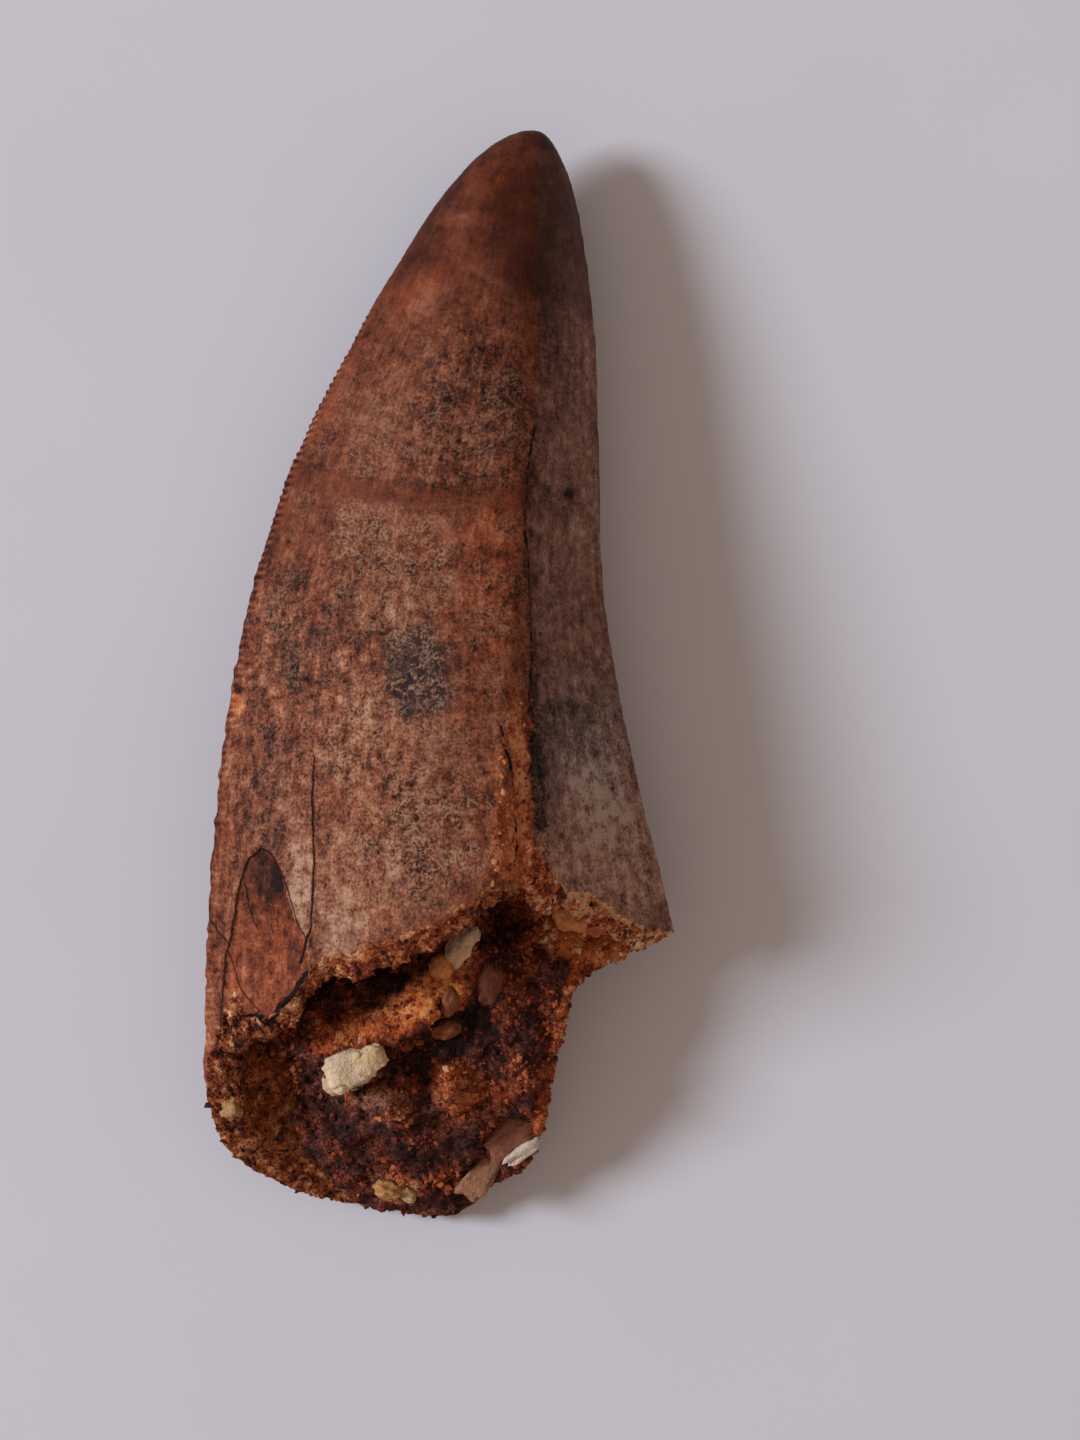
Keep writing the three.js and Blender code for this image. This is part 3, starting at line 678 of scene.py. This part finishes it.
    # Cracks: dark where the distance to a path, wandering a little, is under a half width that comes and goes
    wander = paint("TexNoise", {"Vector": here, "Scale": perMm(1.2), "Detail": 4.0, "Roughness": 0.7})
    wander = paint("Math", {0: wander, 1: 0.5}, operation="SUBTRACT")
    swell = paint("MapRange", {0: blotch, 1: 0.40, 2: 0.58, 3: -1.4, 4: 1.4})
    crackLine = 0.0
    for name in ("cracks0", "cracks1", "cracks2"):
        stored = paint("Attribute", attribute_name=name, out="Vector")
        line = paint("SeparateXYZ", {0: stored}).node.outputs
        away = paint("Math", {0: wander, 1: 0.35, 2: line["X"]}, operation="MULTIPLY_ADD")
        away = paint("Math", {0: away}, operation="ABSOLUTE")
        part = paint("Mix", {"Factor": line["Z"], "A": 1.0, "B": swell}, data_type="FLOAT")
        half = paint("Math", {0: line["Y"], 1: part}, operation="MULTIPLY")
        left = paint("Math", {0: half, 1: away}, operation="SUBTRACT")
        shown = paint("MapRange", {0: left, 1: -0.07, 2: 0.03})
        present = paint("Math", {0: line["Y"], 1: 0.01}, operation="GREATER_THAN")
        shown = paint("Math", {0: shown, 1: present}, operation="MULTIPLY")
        crackLine = paint("Math", {0: shown, 1: crackLine}, operation="MAXIMUM")

    # Broken dentine
    tear = paint("Math", {0: blotch, 1: 0.5}, operation="SUBTRACT")
    bared = paint("Math", {0: tear, 1: 0.7, 2: field["bare"]}, operation="MULTIPLY_ADD")
    bared = paint("MapRange", {0: bared, 1: 0.42, 2: 0.58})
    grit = paint("Math", {0: grain, 1: 0.5}, operation="SUBTRACT")
    rubble = paint("Math", {0: tear, 1: 2.2, 2: grit}, operation="MULTIPLY_ADD")
    crumb = paint("Math", {0: rubble, 1: field["fine"], 2: field["tone"]}, operation="MULTIPLY_ADD")
    core = {}
    for name in ("dentine", "rust"):
        core[name] = paint("ValToRGB", {0: crumb}, out="Color")
        setStops(core[name].node.color_ramp, enamelColours[name])
    inner = paint("Mix", {"Factor": rusty, "A": core["dentine"], "B": core["rust"]},
                  data_type="RGBA", out="Result")
    colour = paint("Mix", {"Factor": bared, "A": colour, "B": inner}, data_type="RGBA", out="Result")
    colour = paint("Mix", {"Factor": crackLine, "A": colour, "B": linearColour(enamelColours["crack"])},
                   data_type="RGBA", out="Result")

    # Heights for the bump, metres
    height = paint("Math", {0: texture, 1: 0.05 * mm}, operation="MULTIPLY")
    height = paint("Math", {0: height, 1: field["fine"]}, operation="MULTIPLY")
    for pattern, size in ((vein, 0.04), (pits, -0.05), (crackLine, -0.12)):
        height = paint("Math", {0: pattern, 1: size * mm, 2: height}, operation="MULTIPLY_ADD")
    rough = paint("Math", {0: rubble, 1: bared}, operation="MULTIPLY")
    height = paint("Math", {0: rough, 1: 0.12 * mm, 2: height}, operation="MULTIPLY_ADD")
    bump = paint("Bump", {"Strength": 0.9, "Distance": 1.0, "Height": height})
    gloss = paint("MapRange", {0: mottle, 1: 0.3, 2: 0.7, 3: 0.56, 4: 0.70})
    gloss = paint("Math", {0: field["tip"], 1: -0.14, 2: gloss}, operation="MULTIPLY_ADD")
    dull = paint("Math", {0: bared, 1: vein}, operation="MAXIMUM")
    dull = paint("Math", {0: dull, 1: 0.9}, operation="MULTIPLY")
    gloss = paint("Math", {0: gloss, 1: dull}, operation="MAXIMUM")
    shader = paint("BsdfPrincipled", {
        "Base Color": colour, "Roughness": gloss, "IOR": 1.5, "Specular IOR Level": 0.10, "Normal": bump})
    paint("OutputMaterial", {"Surface": shader})
    return material


enamel = enamelMaterial()
relief = reliefTree()
tooth = evenCopy("tooth", "tooth_skin", toothLook["faceSize"])
toothFields(tooth.data)
runTree(tooth, relief, reliefValues(toothLook))
settle(tooth.data)
finishPiece(tooth, enamel)


# The serrations: a worn bead at each pitch of the front cutting edge

def serrationTree():
    tree, given, shape = newTree("serrations", {
        "Pitch": "Float", "Size": "Vector", "Seed": "Int", "Material": "Material"})
    line = shape("GeometryNodeMeshToCurve", {"Mesh": given["Geometry"]})
    line = shape("GeometryNodeResampleCurve", {"Curve": line, "Length": given["Pitch"]}, mode="LENGTH")
    bead = shape("GeometryNodeMeshIcoSphere", {"Radius": 1.0, "Subdivisions": 2})
    tangent = shape("GeometryNodeInputTangent")
    turn = shape("FunctionNodeAlignRotationToVector", {"Vector": tangent}, axis="Y")
    keen = shape("GeometryNodeInputNamedAttribute", {"Name": "keen"}, data_type="FLOAT")
    wear = shape("FunctionNodeRandomValue", {"Min": 0.7, "Max": 1.1, "Seed": given["Seed"]},
                 data_type="FLOAT")
    share = shape("ShaderNodeMath", {0: keen, 1: wear}, operation="MULTIPLY")
    size = shape("ShaderNodeVectorMath", {"Vector": given["Size"], "Scale": share}, operation="SCALE")
    beads = shape("GeometryNodeInstanceOnPoints", {
        "Points": line, "Instance": bead, "Rotation": turn, "Scale": size})
    solid = shape("GeometryNodeRealizeInstances", {"Geometry": beads})
    done = shape("GeometryNodeSetMaterial", {"Geometry": solid, "Material": given["Material"]})
    shape("NodeGroupOutput", {"Geometry": done})
    return tree


# The front edge as it came out, smoothed along its length
def frontEdge(mesh):
    place, _ = meshPoints(mesh)
    steps = np.arange(-24.5, 38.6, 0.25)
    slices = [place[np.abs(place[:, 1] - step) < 0.25] for step in steps]
    line = np.array([s[s[:, 0].argmin()] for s in slices])
    line[:, 1] = steps
    ease = np.ones(9) / 9
    return np.stack([np.convolve(column, ease, "valid") for column in line.T], axis=1)


edgeLine = frontEdge(tooth.data) + np.array([serration["inset"], 0, 0])
edgeMesh = bpy.data.meshes.new("front edge line")
edgeMesh.from_pydata((edgeLine * mm).tolist(), [(i, i + 1) for i in range(len(edgeLine) - 1)], [])
storeField(edgeMesh, "keen", np.interp(edgeLine[:, 1], serration["keenAt"], serration["keen"]))
serrations = newPiece("serrations", edgeMesh)
runTree(serrations, serrationTree(), {
    "Pitch": serration["pitch"] * mm, "Seed": serration["seed"], "Material": enamel,
    "Size": tuple(v * mm for v in (serration["reach"], serration["along"], serration["thick"]))})
for name, value in serration["look"].items():
    storeField(serrations.data, name, np.full(len(serrations.data.vertices), value))
finishPiece(serrations, enamel)


# The sediment in the pulp cavity

sedimentLook = {"faceSize": 0.24, "smoothSteps": 2, "crumble": 1.2, "crumbleSize": 1.7,
                "granule": 0.5, "granuleSize": 0.9, "pebbleSeat": 0.8}    # mm
# Crest of the orange ledge, the worn rim at the back, and patches as on the tooth
ledgeLine = [(-8.8, -26.6), (-4.6, -25.5), (-1.0, -24.2), (1.7, -22.5)]
backRim = [(10.0, -21.0), (8.6, -26.0), (7.8, -31.0), (7.0, -34.2)]
sedimentPatches = {
    # Painted shade of the roof lip over the recess
    "recess": {"at": (-4.2, -21.2), "size": (3.4, 1.6), "turn": 30, "tone": -0.12},
    # Painted light round the pebbles, where the roof's shadow would darken them
    "painted light by pebbles": {"at": (0.6, -20.2), "size": (2.6, 2.6), "tone": 0.32, "warmth": 0.5},
    # Painted shade under the ledge
    "shade under ledge": {"at": (-0.2, -27.0), "size": (4.2, 1.3), "turn": 34, "tone": -0.20},
    "upper slope": {"at": (-4.8, -23.8), "size": (3.8, 1.8), "turn": 30, "tone": 0.12, "warmth": 0.1},
    "grey lump": {"at": (-4.0, -30.7), "size": (2.4, 1.7), "turn": -12, "tone": 0.40, "warmth": -0.2},
    "red lump": {"at": (1.1, -29.7), "size": (1.6, 1.8), "turn": 25, "tone": 0.30, "warmth": 0.5},
    # Painted light above the ledge, where the roof's shadow would darken it
    "painted light behind ledge": {"at": (-1.2, -23.3), "size": (2.4, 1.2), "turn": 28, "tone": 0.18, "warmth": 0.8},
    "red crumbs": {"at": (4.0, -30.4), "size": (2.6, 1.0), "turn": 30, "tone": 0.10, "warmth": 0.3},
    # Painted shade in a hole beside the ledge
    "shade in hole": {"at": (2.8, -24.8), "size": (1.1, 0.9), "tone": -0.30},
    "rim cream": {"at": (-3.2, -37.6), "size": (1.9, 1.1), "turn": -15, "tone": 0.5},
    "foot": {"at": (-1.6, -34.2), "size": (5.0, 2.0), "turn": -12, "tone": -0.08},
}

# Pebbles and flakes held by the sediment: half sizes, turn about z and tilt about x in degrees, and colour.
# grit roughens the surface, uneven makes it lumpy, and boxy under 1 draws it towards a block.
pebbles = {
    "cream block": {"at": (-6.3, -28.2, 10.1), "size": (2.2, 1.65, 1.6), "turn": 24, "colour": "#e3c9a4",
        "grit": 1.8, "boxy": 0.55, "uneven": 1.6},
    "cream corner": {"at": (-7.4, -29.2, 9.6), "size": (0.9, 0.9, 1.0), "turn": 50, "colour": "#d3b38c",
        "grit": 1.8},
    "cream end": {"at": (-4.9, -27.5, 10.3), "size": (1.5, 1.15, 1.2), "turn": 30, "colour": "#dcbb8e",
        "grit": 1.8, "boxy": 0.6},
    # The pale pebble and the orange ball have their own pale and orange colours, painted lighter as painted
    # light where the roof's shadow falls on them
    "pale pebble": {"at": (1.7, -19.3, 10.7), "size": (1.0, 1.7, 1.2), "turn": -28, "colour": "#d8b495",
        "grit": 1.4, "uneven": 2.5},
    "orange ball": {"at": (0.3, -20.9, 10.4), "size": (0.95, 0.9, 0.9), "colour": "#d68c52", "grit": 1.4,
        "uneven": 2.0},
    "brown pebble": {"at": (3.6, -22.0, 9.2), "size": (1.0, 1.7, 1.2), "turn": -10, "colour": "#7a442e",
        "grit": 1.4, "uneven": 2.5},
    "tan pebble": {"at": (0.8, -23.3, 10.2), "size": (0.7, 1.2, 0.9), "turn": -15, "colour": "#8a5230",
        "grit": 1.4, "uneven": 2.5},
    "low pebble": {"at": (0.7, -25.4, 8.9), "size": (1.1, 0.75, 0.8), "turn": 15, "colour": "#864a2a",
        "grit": 1.4, "uneven": 2.5},
    "white flake": {"at": (6.1, -34.5, 5.2), "size": (1.8, 0.55, 0.5), "turn": 34, "tilt": 20,
        "colour": "#d9c6b2", "grit": 1.6, "boxy": 0.5, "uneven": 4.0},
    "pink flake": {"at": (5.0, -33.7, 5.2), "size": (2.4, 1.4, 0.6), "turn": 34, "tilt": 14,
        "colour": "#95604a", "grit": 1.6, "boxy": 0.4, "uneven": 4.0},
    "tan flake": {"at": (3.1, -36.4, 4.2), "size": (1.2, 2.3, 0.7), "turn": -36, "tilt": -12,
        "colour": "#9c6d50", "grit": 1.6, "boxy": 0.4, "uneven": 4.0},
    # The orange lump has its own orange colour, painted lighter as painted light where it lies in shade below
    # the flank
    "orange lump": {"at": (9.4, -17.3, 7.7), "size": (1.5, 1.2, 1.0), "turn": -25, "colour": "#f6a46e",
        "grit": 2.4, "uneven": 4.0},
    "orange crumb": {"at": (8.2, -16.2, 8.0), "size": (0.8, 0.7, 0.7), "colour": "#e68c58", "grit": 2.4,
        "uneven": 4.0},
    "red lump": {"at": (11.2, -18.0, 7.5), "size": (1.0, 0.8, 0.7), "turn": -20, "colour": "#dc8056",
        "grit": 2.4, "uneven": 4.0},
    "cream chip": {"at": (10.4, -16.9, 8.1), "size": (0.75, 0.4, 0.4), "turn": -25, "colour": "#e0c8a6",
        "grit": 1.8, "uneven": 4.0},
    "front crust": {"at": (-15.1, -31.3, 5.8), "size": (0.8, 1.0, 0.6), "colour": "#b58a5c", "grit": 2.0,
        "uneven": 4.0},
    "rim crust": {"at": (-3.8, -37.5, 4.2), "size": (1.1, 0.6, 0.6), "turn": -18, "colour": "#c18c54",
        "grit": 2.4, "uneven": 4.0},
    "rim bit": {"at": (-2.4, -37.9, 3.8), "size": (0.75, 0.5, 0.5), "turn": -30, "colour": "#d0aa7c",
        "grit": 2.4, "uneven": 4.0},
}


def sedimentFields(mesh):
    place, facing = meshPoints(mesh)
    x, y, z = place.T
    rx, ry, _ = ragged(place, 0.5, 1.2).T
    clump = np.array([noise.noise(Vector(p / 1.9)) for p in place])
    fields = {"tone": np.full(x.shape, 0.36), "warmth": 0.15 + 0.5 * clump}
    for patch in sedimentPatches.values():
        share = oval(rx, ry, patch["at"], patch["size"], patch.get("turn", 0), 0.5)
        for name, values in fields.items():
            values += share * patch.get(name, 0.0)
    across, past = lineDistance(rx, ry, ledgeLine)
    ledge = np.where(across > 0, smoothStep(2.2, 0.3, across), smoothStep(1.3, 0.5, -across)) * (past < 0.8)
    strip = smoothStep(0.7, 0.2, np.abs(lineDistance(rx, ry, backRim)[0]))
    backCrumbs = oval(rx, ry, (11.4, -18.6), (5.0, 2.3), -22, 0.5)
    fields["tone"] += 0.15 * ledge + 0.16 * strip + 0.40 * backCrumbs
    fields["warmth"] += 0.9 * ledge + 0.7 * strip + 1.3 * backCrumbs
    fields["tint"] = 0.30 + 0.28 * ledge + 0.2 * strip + 0.26 * backCrumbs
    fields["tint"] += 0.4 * (fields["tone"] - 0.34) * (1 - ledge) + 0.4 * clump
    # Grains lie in clumps on what looks up or back, fewer where it is dark
    looksOut = facing[:, 2] + 0.6 * np.maximum(0, facing[:, 0])
    fields["shown"] = smoothStep(-0.1, 0.3, looksOut) * smoothStep(2.2, 3.2, z)
    fields["shown"] *= 0.3 + 0.7 * smoothStep(-0.3, 0.2, clump)
    fields["shown"] *= np.clip(0.3 + 2 * (fields["tone"] - 0.15), 0.15, 1)
    # The fill gives way to each pebble, and no grains lie on it
    held = np.zeros(x.shape)
    for pebble in pebbles.values():
        wide = [0.95 * half for half in pebble["size"][:2]]
        held = np.maximum(held, oval(x, y, pebble["at"], wide, pebble.get("turn", 0), 0.2))
    fields["shown"] *= 1 - held
    fields["broken"] = smoothStep(-0.5, 0.1, facing[:, 2]) * (1 - 0.7 * held)
    fields["iron"] = 1 - fields["broken"]
    fields["lift"] = -sedimentLook["pebbleSeat"] * mm * held * smoothStep(-0.4, 0.1, facing[:, 2])
    for name, values in fields.items():
        storeField(mesh, name, values)


# Cemented sediment: dull dark red-brown sandstone that crumbles into grains, orange along its ledge
sedimentColours = {
    "plain": ["#0f0606", "#2b130f", "#542b22", "#865341", "#b48c74"],
    "rusty": ["#170603", "#5a1f0d", "#a0451c", "#c26e33", "#d4935a"],
}


def sedimentMaterial():
    material, paint = newMaterial("cemented sandstone")
    here = paint("TexCoord", out="Object")
    tone = paint("Attribute", attribute_name="tone", out="Fac")
    warmth = paint("Attribute", attribute_name="warmth", out="Fac")
    height = 0.0
    for size, weight, depth in ((1.7, 1.1, 0.0), (0.5, 1.2, 0.20), (0.17, 0.9, 0.08)):
        pattern = paint("TexNoise", {"Vector": here, "Scale": perMm(size), "Detail": 4.0, "Roughness": 0.65})
        pattern = paint("Math", {0: pattern, 1: 0.5}, operation="SUBTRACT")
        tone = paint("Math", {0: pattern, 1: weight, 2: tone}, operation="MULTIPLY_ADD")
        height = paint("Math", {0: pattern, 1: depth * mm, 2: height}, operation="MULTIPLY_ADD")
    tints = []
    for name in ("plain", "rusty"):
        tints.append(paint("ValToRGB", {0: tone}, out="Color"))
        setStops(tints[-1].node.color_ramp, sedimentColours[name])
    rust = paint("Math", {0: pattern, 1: 1.0, 2: warmth}, operation="MULTIPLY_ADD", use_clamp=True)
    colour = paint("Mix", {"Factor": rust, "A": tints[0], "B": tints[1]}, data_type="RGBA", out="Result")
    bump = paint("Bump", {"Strength": 1.0, "Distance": 1.0, "Height": height})
    shader = paint("BsdfPrincipled", {
        "Base Color": colour, "Roughness": 0.92, "IOR": 1.5, "Specular IOR Level": 0.25, "Normal": bump})
    paint("OutputMaterial", {"Surface": shader})
    return material


sediment = evenCopy("matrix", "sediment_fill", sedimentLook["faceSize"])
sedimentFields(sediment.data)
runTree(sediment, relief, reliefValues(sedimentLook))
settle(sediment.data)
finishPiece(sediment, sedimentMaterial())


# Ball drawn to size, or towards a block, with an uneven surface
def pebbleMesh(bm, tintLayer, gritLayer, pebble, seed):
    made = bmesh.ops.create_icosphere(bm, subdivisions=4, radius=1.0)["verts"]
    boxy = pebble.get("boxy", 1.0)
    shape = np.array([v.co[:] for v in made])
    shape = np.sign(shape) * np.abs(shape) ** boxy
    shape /= 1 + 0.5 * (1 - boxy)
    swell = np.zeros(len(shape))
    for turns, reach in ((1.7, 0.10 * pebble.get("uneven", 1.0)), (4.5, 0.07 * pebble["grit"]),
                         (10.0, 0.05 * pebble["grit"])):
        swell += reach * np.array([noise.noise(Vector(p * turns + seed)) for p in shape])
    shape *= 1 + swell[:, None]
    shape *= pebble["size"]
    tilt = math.radians(pebble.get("tilt", 0))
    turn = math.radians(pebble.get("turn", 0))
    y = shape[:, 1] * math.cos(tilt) - shape[:, 2] * math.sin(tilt)
    z = shape[:, 1] * math.sin(tilt) + shape[:, 2] * math.cos(tilt)
    x = shape[:, 0] * math.cos(turn) - y * math.sin(turn)
    y = shape[:, 0] * math.sin(turn) + y * math.cos(turn)
    place = (np.stack([x, y, z], axis=1) + pebble["at"]) * mm
    colour = linearColour(pebble["colour"])
    for vertex, co in zip(made, place):
        vertex.co = co
        vertex[tintLayer] = colour
        vertex[gritLayer] = pebble["grit"]


# Weathered pebbles and broken shell-like flakes: dull, finely gritty, each in its own tint
def pebbleMaterial():
    material, paint = newMaterial("weathered pebbles")
    here = paint("TexCoord", out="Object")
    tint = paint("Attribute", attribute_name="tint", out="Color")
    grit = paint("Attribute", attribute_name="grit", out="Fac")
    shade = 1.0
    height = 0.0
    for size, weight, depth in ((1.1, 0.9, 0.06), (0.3, 0.9, 0.09), (0.12, 0.6, 0.05)):
        pattern = paint("TexNoise", {"Vector": here, "Scale": perMm(size), "Detail": 3.0, "Roughness": 0.6})
        pattern = paint("Math", {0: pattern, 1: 0.5}, operation="SUBTRACT")
        shade = paint("Math", {0: pattern, 1: weight, 2: shade}, operation="MULTIPLY_ADD")
        height = paint("Math", {0: pattern, 1: depth * mm, 2: height}, operation="MULTIPLY_ADD")
    height = paint("Math", {0: height, 1: grit}, operation="MULTIPLY")
    colour = paint("VectorMath", {"Vector": tint, "Scale": shade}, operation="SCALE")
    bump = paint("Bump", {"Strength": 1.0, "Distance": 1.0, "Height": height})
    shader = paint("BsdfPrincipled", {
        "Base Color": colour, "Roughness": 0.75, "IOR": 1.5, "Specular IOR Level": 0.3, "Normal": bump})
    paint("OutputMaterial", {"Surface": shader})
    return material


pebbleShape = bmesh.new()
tintLayer = pebbleShape.verts.layers.float_color.new("tint")
gritLayer = pebbleShape.verts.layers.float.new("grit")
for seed, pebble in enumerate(pebbles.values()):
    pebbleMesh(pebbleShape, tintLayer, gritLayer, pebble, seed + 3)
pebbleData = bpy.data.meshes.new("sediment pebbles")
pebbleShape.to_mesh(pebbleData)
pebbleShape.free()
pebblePiece = newPiece("sediment_pebbles", pebbleData)
finishPiece(pebblePiece, pebbleMaterial())


# Loose grains on the sediment and crumbs on the broken dentine

grainLook = {"perSquareMm": 13.0, "smallest": 0.06, "largest": 0.30, "shapes": 5, "seed": 11}
crumbLook = {"perSquareMm": 14.0, "smallest": 0.06, "largest": 0.30, "seed": 23}
grainColours = ["#1a0a08", "#421b14", "#72301e", "#a04e2a", "#c07a46", "#d8c0a6"]


# Sandstone grains: dull and angular, each in its own tint from maroon through rust to cream
def grainMaterial():
    material, paint = newMaterial("loose sandstone grains")
    tint = paint("Attribute", attribute_name="grainTint", out="Fac")
    colour = paint("ValToRGB", {0: tint}, out="Color")
    setStops(colour.node.color_ramp, grainColours)
    here = paint("TexCoord", out="Object")
    grit = paint("TexNoise", {"Vector": here, "Scale": perMm(0.12), "Detail": 2.0})
    height = paint("Math", {0: grit, 1: 0.05 * mm}, operation="MULTIPLY")
    bump = paint("Bump", {"Distance": 1.0, "Height": height})
    shader = paint("BsdfPrincipled", {
        "Base Color": colour, "Roughness": 0.85, "IOR": 1.5, "Specular IOR Level": 0.3, "Normal": bump})
    paint("OutputMaterial", {"Surface": shader})
    return material


# Random draws of the grains: kind, least, most, and what is added to the seed
grainDraws = {
    "skew": ("FLOAT", 0.0, 1.0, 1),
    "form": ("FLOAT_VECTOR", (0.6,) * 3, (1.15,) * 3, 2),
    "turn": ("FLOAT_VECTOR", (0.0,) * 3, (6.28,) * 3, 3),
    "tint": ("FLOAT", -0.22, 0.24, 4),
}
for i in range(grainLook["shapes"]):
    grainDraws["dents" + str(i)] = ("FLOAT_VECTOR", (-0.55,) * 3, (0.55,) * 3, 20 + i)


# Angular stones of a few shapes, strewn where they show, most of them small
def grainTree():
    tree, given, shape = newTree("grains", {
        "Density": "Float", "Smallest": "Float", "Largest": "Float", "Seed": "Int", "Material": "Material"})
    drawn = {}
    for name, (kind, least, most, add) in grainDraws.items():
        seed = shape("ShaderNodeMath", {0: given["Seed"], 1: add}, operation="ADD")
        drawn[name] = shape("FunctionNodeRandomValue", {"Min": least, "Max": most, "Seed": seed},
                            data_type=kind)
    shown = shape("GeometryNodeInputNamedAttribute", {"Name": "shown"}, data_type="FLOAT")
    density = shape("ShaderNodeMath", {0: shown, 1: given["Density"]}, operation="MULTIPLY")
    points = shape("GeometryNodeDistributePointsOnFaces", {
        "Mesh": given["Geometry"], "Density": density, "Seed": given["Seed"]})
    stones = tree.nodes.new("GeometryNodeJoinGeometry")
    for i in range(grainLook["shapes"]):
        ball = shape("GeometryNodeMeshIcoSphere", {"Radius": 1.0, "Subdivisions": 1})
        ball = shape("GeometryNodeSetPosition", {"Geometry": ball, "Offset": drawn["dents" + str(i)]})
        ball = shape("GeometryNodeConvexHull", {"Geometry": ball})
        ball = shape("GeometryNodeSetShadeSmooth", {"Geometry": ball, "Shade Smooth": False})
        tree.links.new(shape("GeometryNodeGeometryToInstance", {"Geometry": ball}), stones.inputs[0])
    skew = shape("ShaderNodeMath", {0: drawn["skew"], 1: 3.2}, operation="POWER")
    size = shape("ShaderNodeMapRange", {0: skew, 3: given["Smallest"], 4: given["Largest"]})
    size = shape("ShaderNodeVectorMath", {"Vector": drawn["form"], "Scale": size}, operation="SCALE")
    turn = shape("FunctionNodeEulerToRotation", {0: drawn["turn"]})
    placed = shape("GeometryNodeInstanceOnPoints", {
        "Points": points, "Instance": stones.outputs[0], "Pick Instance": True, "Rotation": turn,
        "Scale": size})
    middle = shape("GeometryNodeInputNamedAttribute", {"Name": "tint"}, data_type="FLOAT")
    tint = shape("ShaderNodeMath", {0: middle, 1: drawn["tint"]}, operation="ADD")
    tinted = shape("GeometryNodeStoreNamedAttribute", {
        "Geometry": placed, "Name": "grainTint", "Value": tint}, data_type="FLOAT", domain="INSTANCE")
    solid = shape("GeometryNodeRealizeInstances", {"Geometry": tinted})
    done = shape("GeometryNodeSetMaterial", {"Geometry": solid, "Material": given["Material"]})
    shape("NodeGroupOutput", {"Geometry": done})
    return tree


grainStone = grainMaterial()
scatter = grainTree()
grains = newPiece("sediment_grains", sediment.data.copy())
crumbs = newPiece("dentine_crumbs", tooth.data.copy())
for piece, look in ((grains, grainLook), (crumbs, crumbLook)):
    runTree(piece, scatter, {
        "Density": look["perSquareMm"] / (mm * mm), "Smallest": look["smallest"] * mm,
        "Largest": look["largest"] * mm, "Seed": look["seed"], "Material": grainStone})
    finishPiece(piece, grainStone, smooth=False)


# Pale sheet, window light from the left and warm fill

# Matt paper: pale cool grey, nearly even
def sheetMaterial():
    material, paint = newMaterial("matt paper")
    here = paint("TexCoord", out="Object")
    cloud = paint("TexNoise", {"Vector": here, "Scale": perMm(25.0), "Detail": 3.0})
    tone = paint("Mix", {"Factor": cloud, "A": linearColour("#d8dae1"), "B": linearColour("#dee0e7")},
                 data_type="RGBA", out="Result")
    shader = paint("BsdfPrincipled", {"Base Color": tone, "Roughness": 0.9})
    paint("OutputMaterial", {"Surface": shader})
    return material


view = {"aim": (7.28, -3.28, 6.0), "distance": 280.0, "frameHeight": 104.3}             # mm
light = {"from": (-0.84, 0.13, 0.53), "distance": 1.8, "size": 0.57, "power": 29.0,    # m, W
         "colour": (0.84, 0.89, 1.0), "fill": (1.0, 0.76, 0.64), "fillStrength": 0.35}

sheetMesh = bpy.data.meshes.new("sheet")
corners = [(-1, -1), (1, -1), (1, 1), (-1, 1)]                    # m
sheetMesh.from_pydata([(x, y, -0.03 * mm) for x, y in corners], [], [(0, 1, 2, 3)])
sheet = newPiece("sheet", sheetMesh)
sheet.data.materials.append(sheetMaterial())

lens = bpy.data.cameras.new("camera")
lens.sensor_width = 36.0
lens.lens = lens.sensor_width * view["distance"] / view["frameHeight"]
lens.clip_start = 0.01
camera = newPiece("camera", lens)
camera.location = Vector(view["aim"]) * mm + Vector((0, 0, view["distance"] * mm))
bpy.context.scene.camera = camera

window = bpy.data.lights.new("window", "AREA")
window.shape = "DISK"
window.size = light["size"]
window.energy = light["power"]
window.color = light["colour"]
lamp = newPiece("window", window)
lamp.location = Vector(light["from"]).normalized() * light["distance"]
lamp.rotation_euler = (-lamp.location).to_track_quat("-Z", "Y").to_euler()

world = bpy.data.worlds.new("room")
world.use_nodes = True
world.node_tree.nodes["Background"].inputs["Color"].default_value = light["fill"] + (1.0,)
world.node_tree.nodes["Background"].inputs["Strength"].default_value = light["fillStrength"]
bpy.context.scene.world = world
bpy.context.scene.view_settings.view_transform = "Standard"

for piece, slot in ((tooth, "enamel_dentine"), (serrations, "enamel_dentine"), (crumbs, "enamel_dentine"),
                    (sediment, "sediment"), (pebblePiece, "sediment"), (grains, "sediment")):
    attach(piece, "root")
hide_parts("tooth")
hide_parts("matrix")
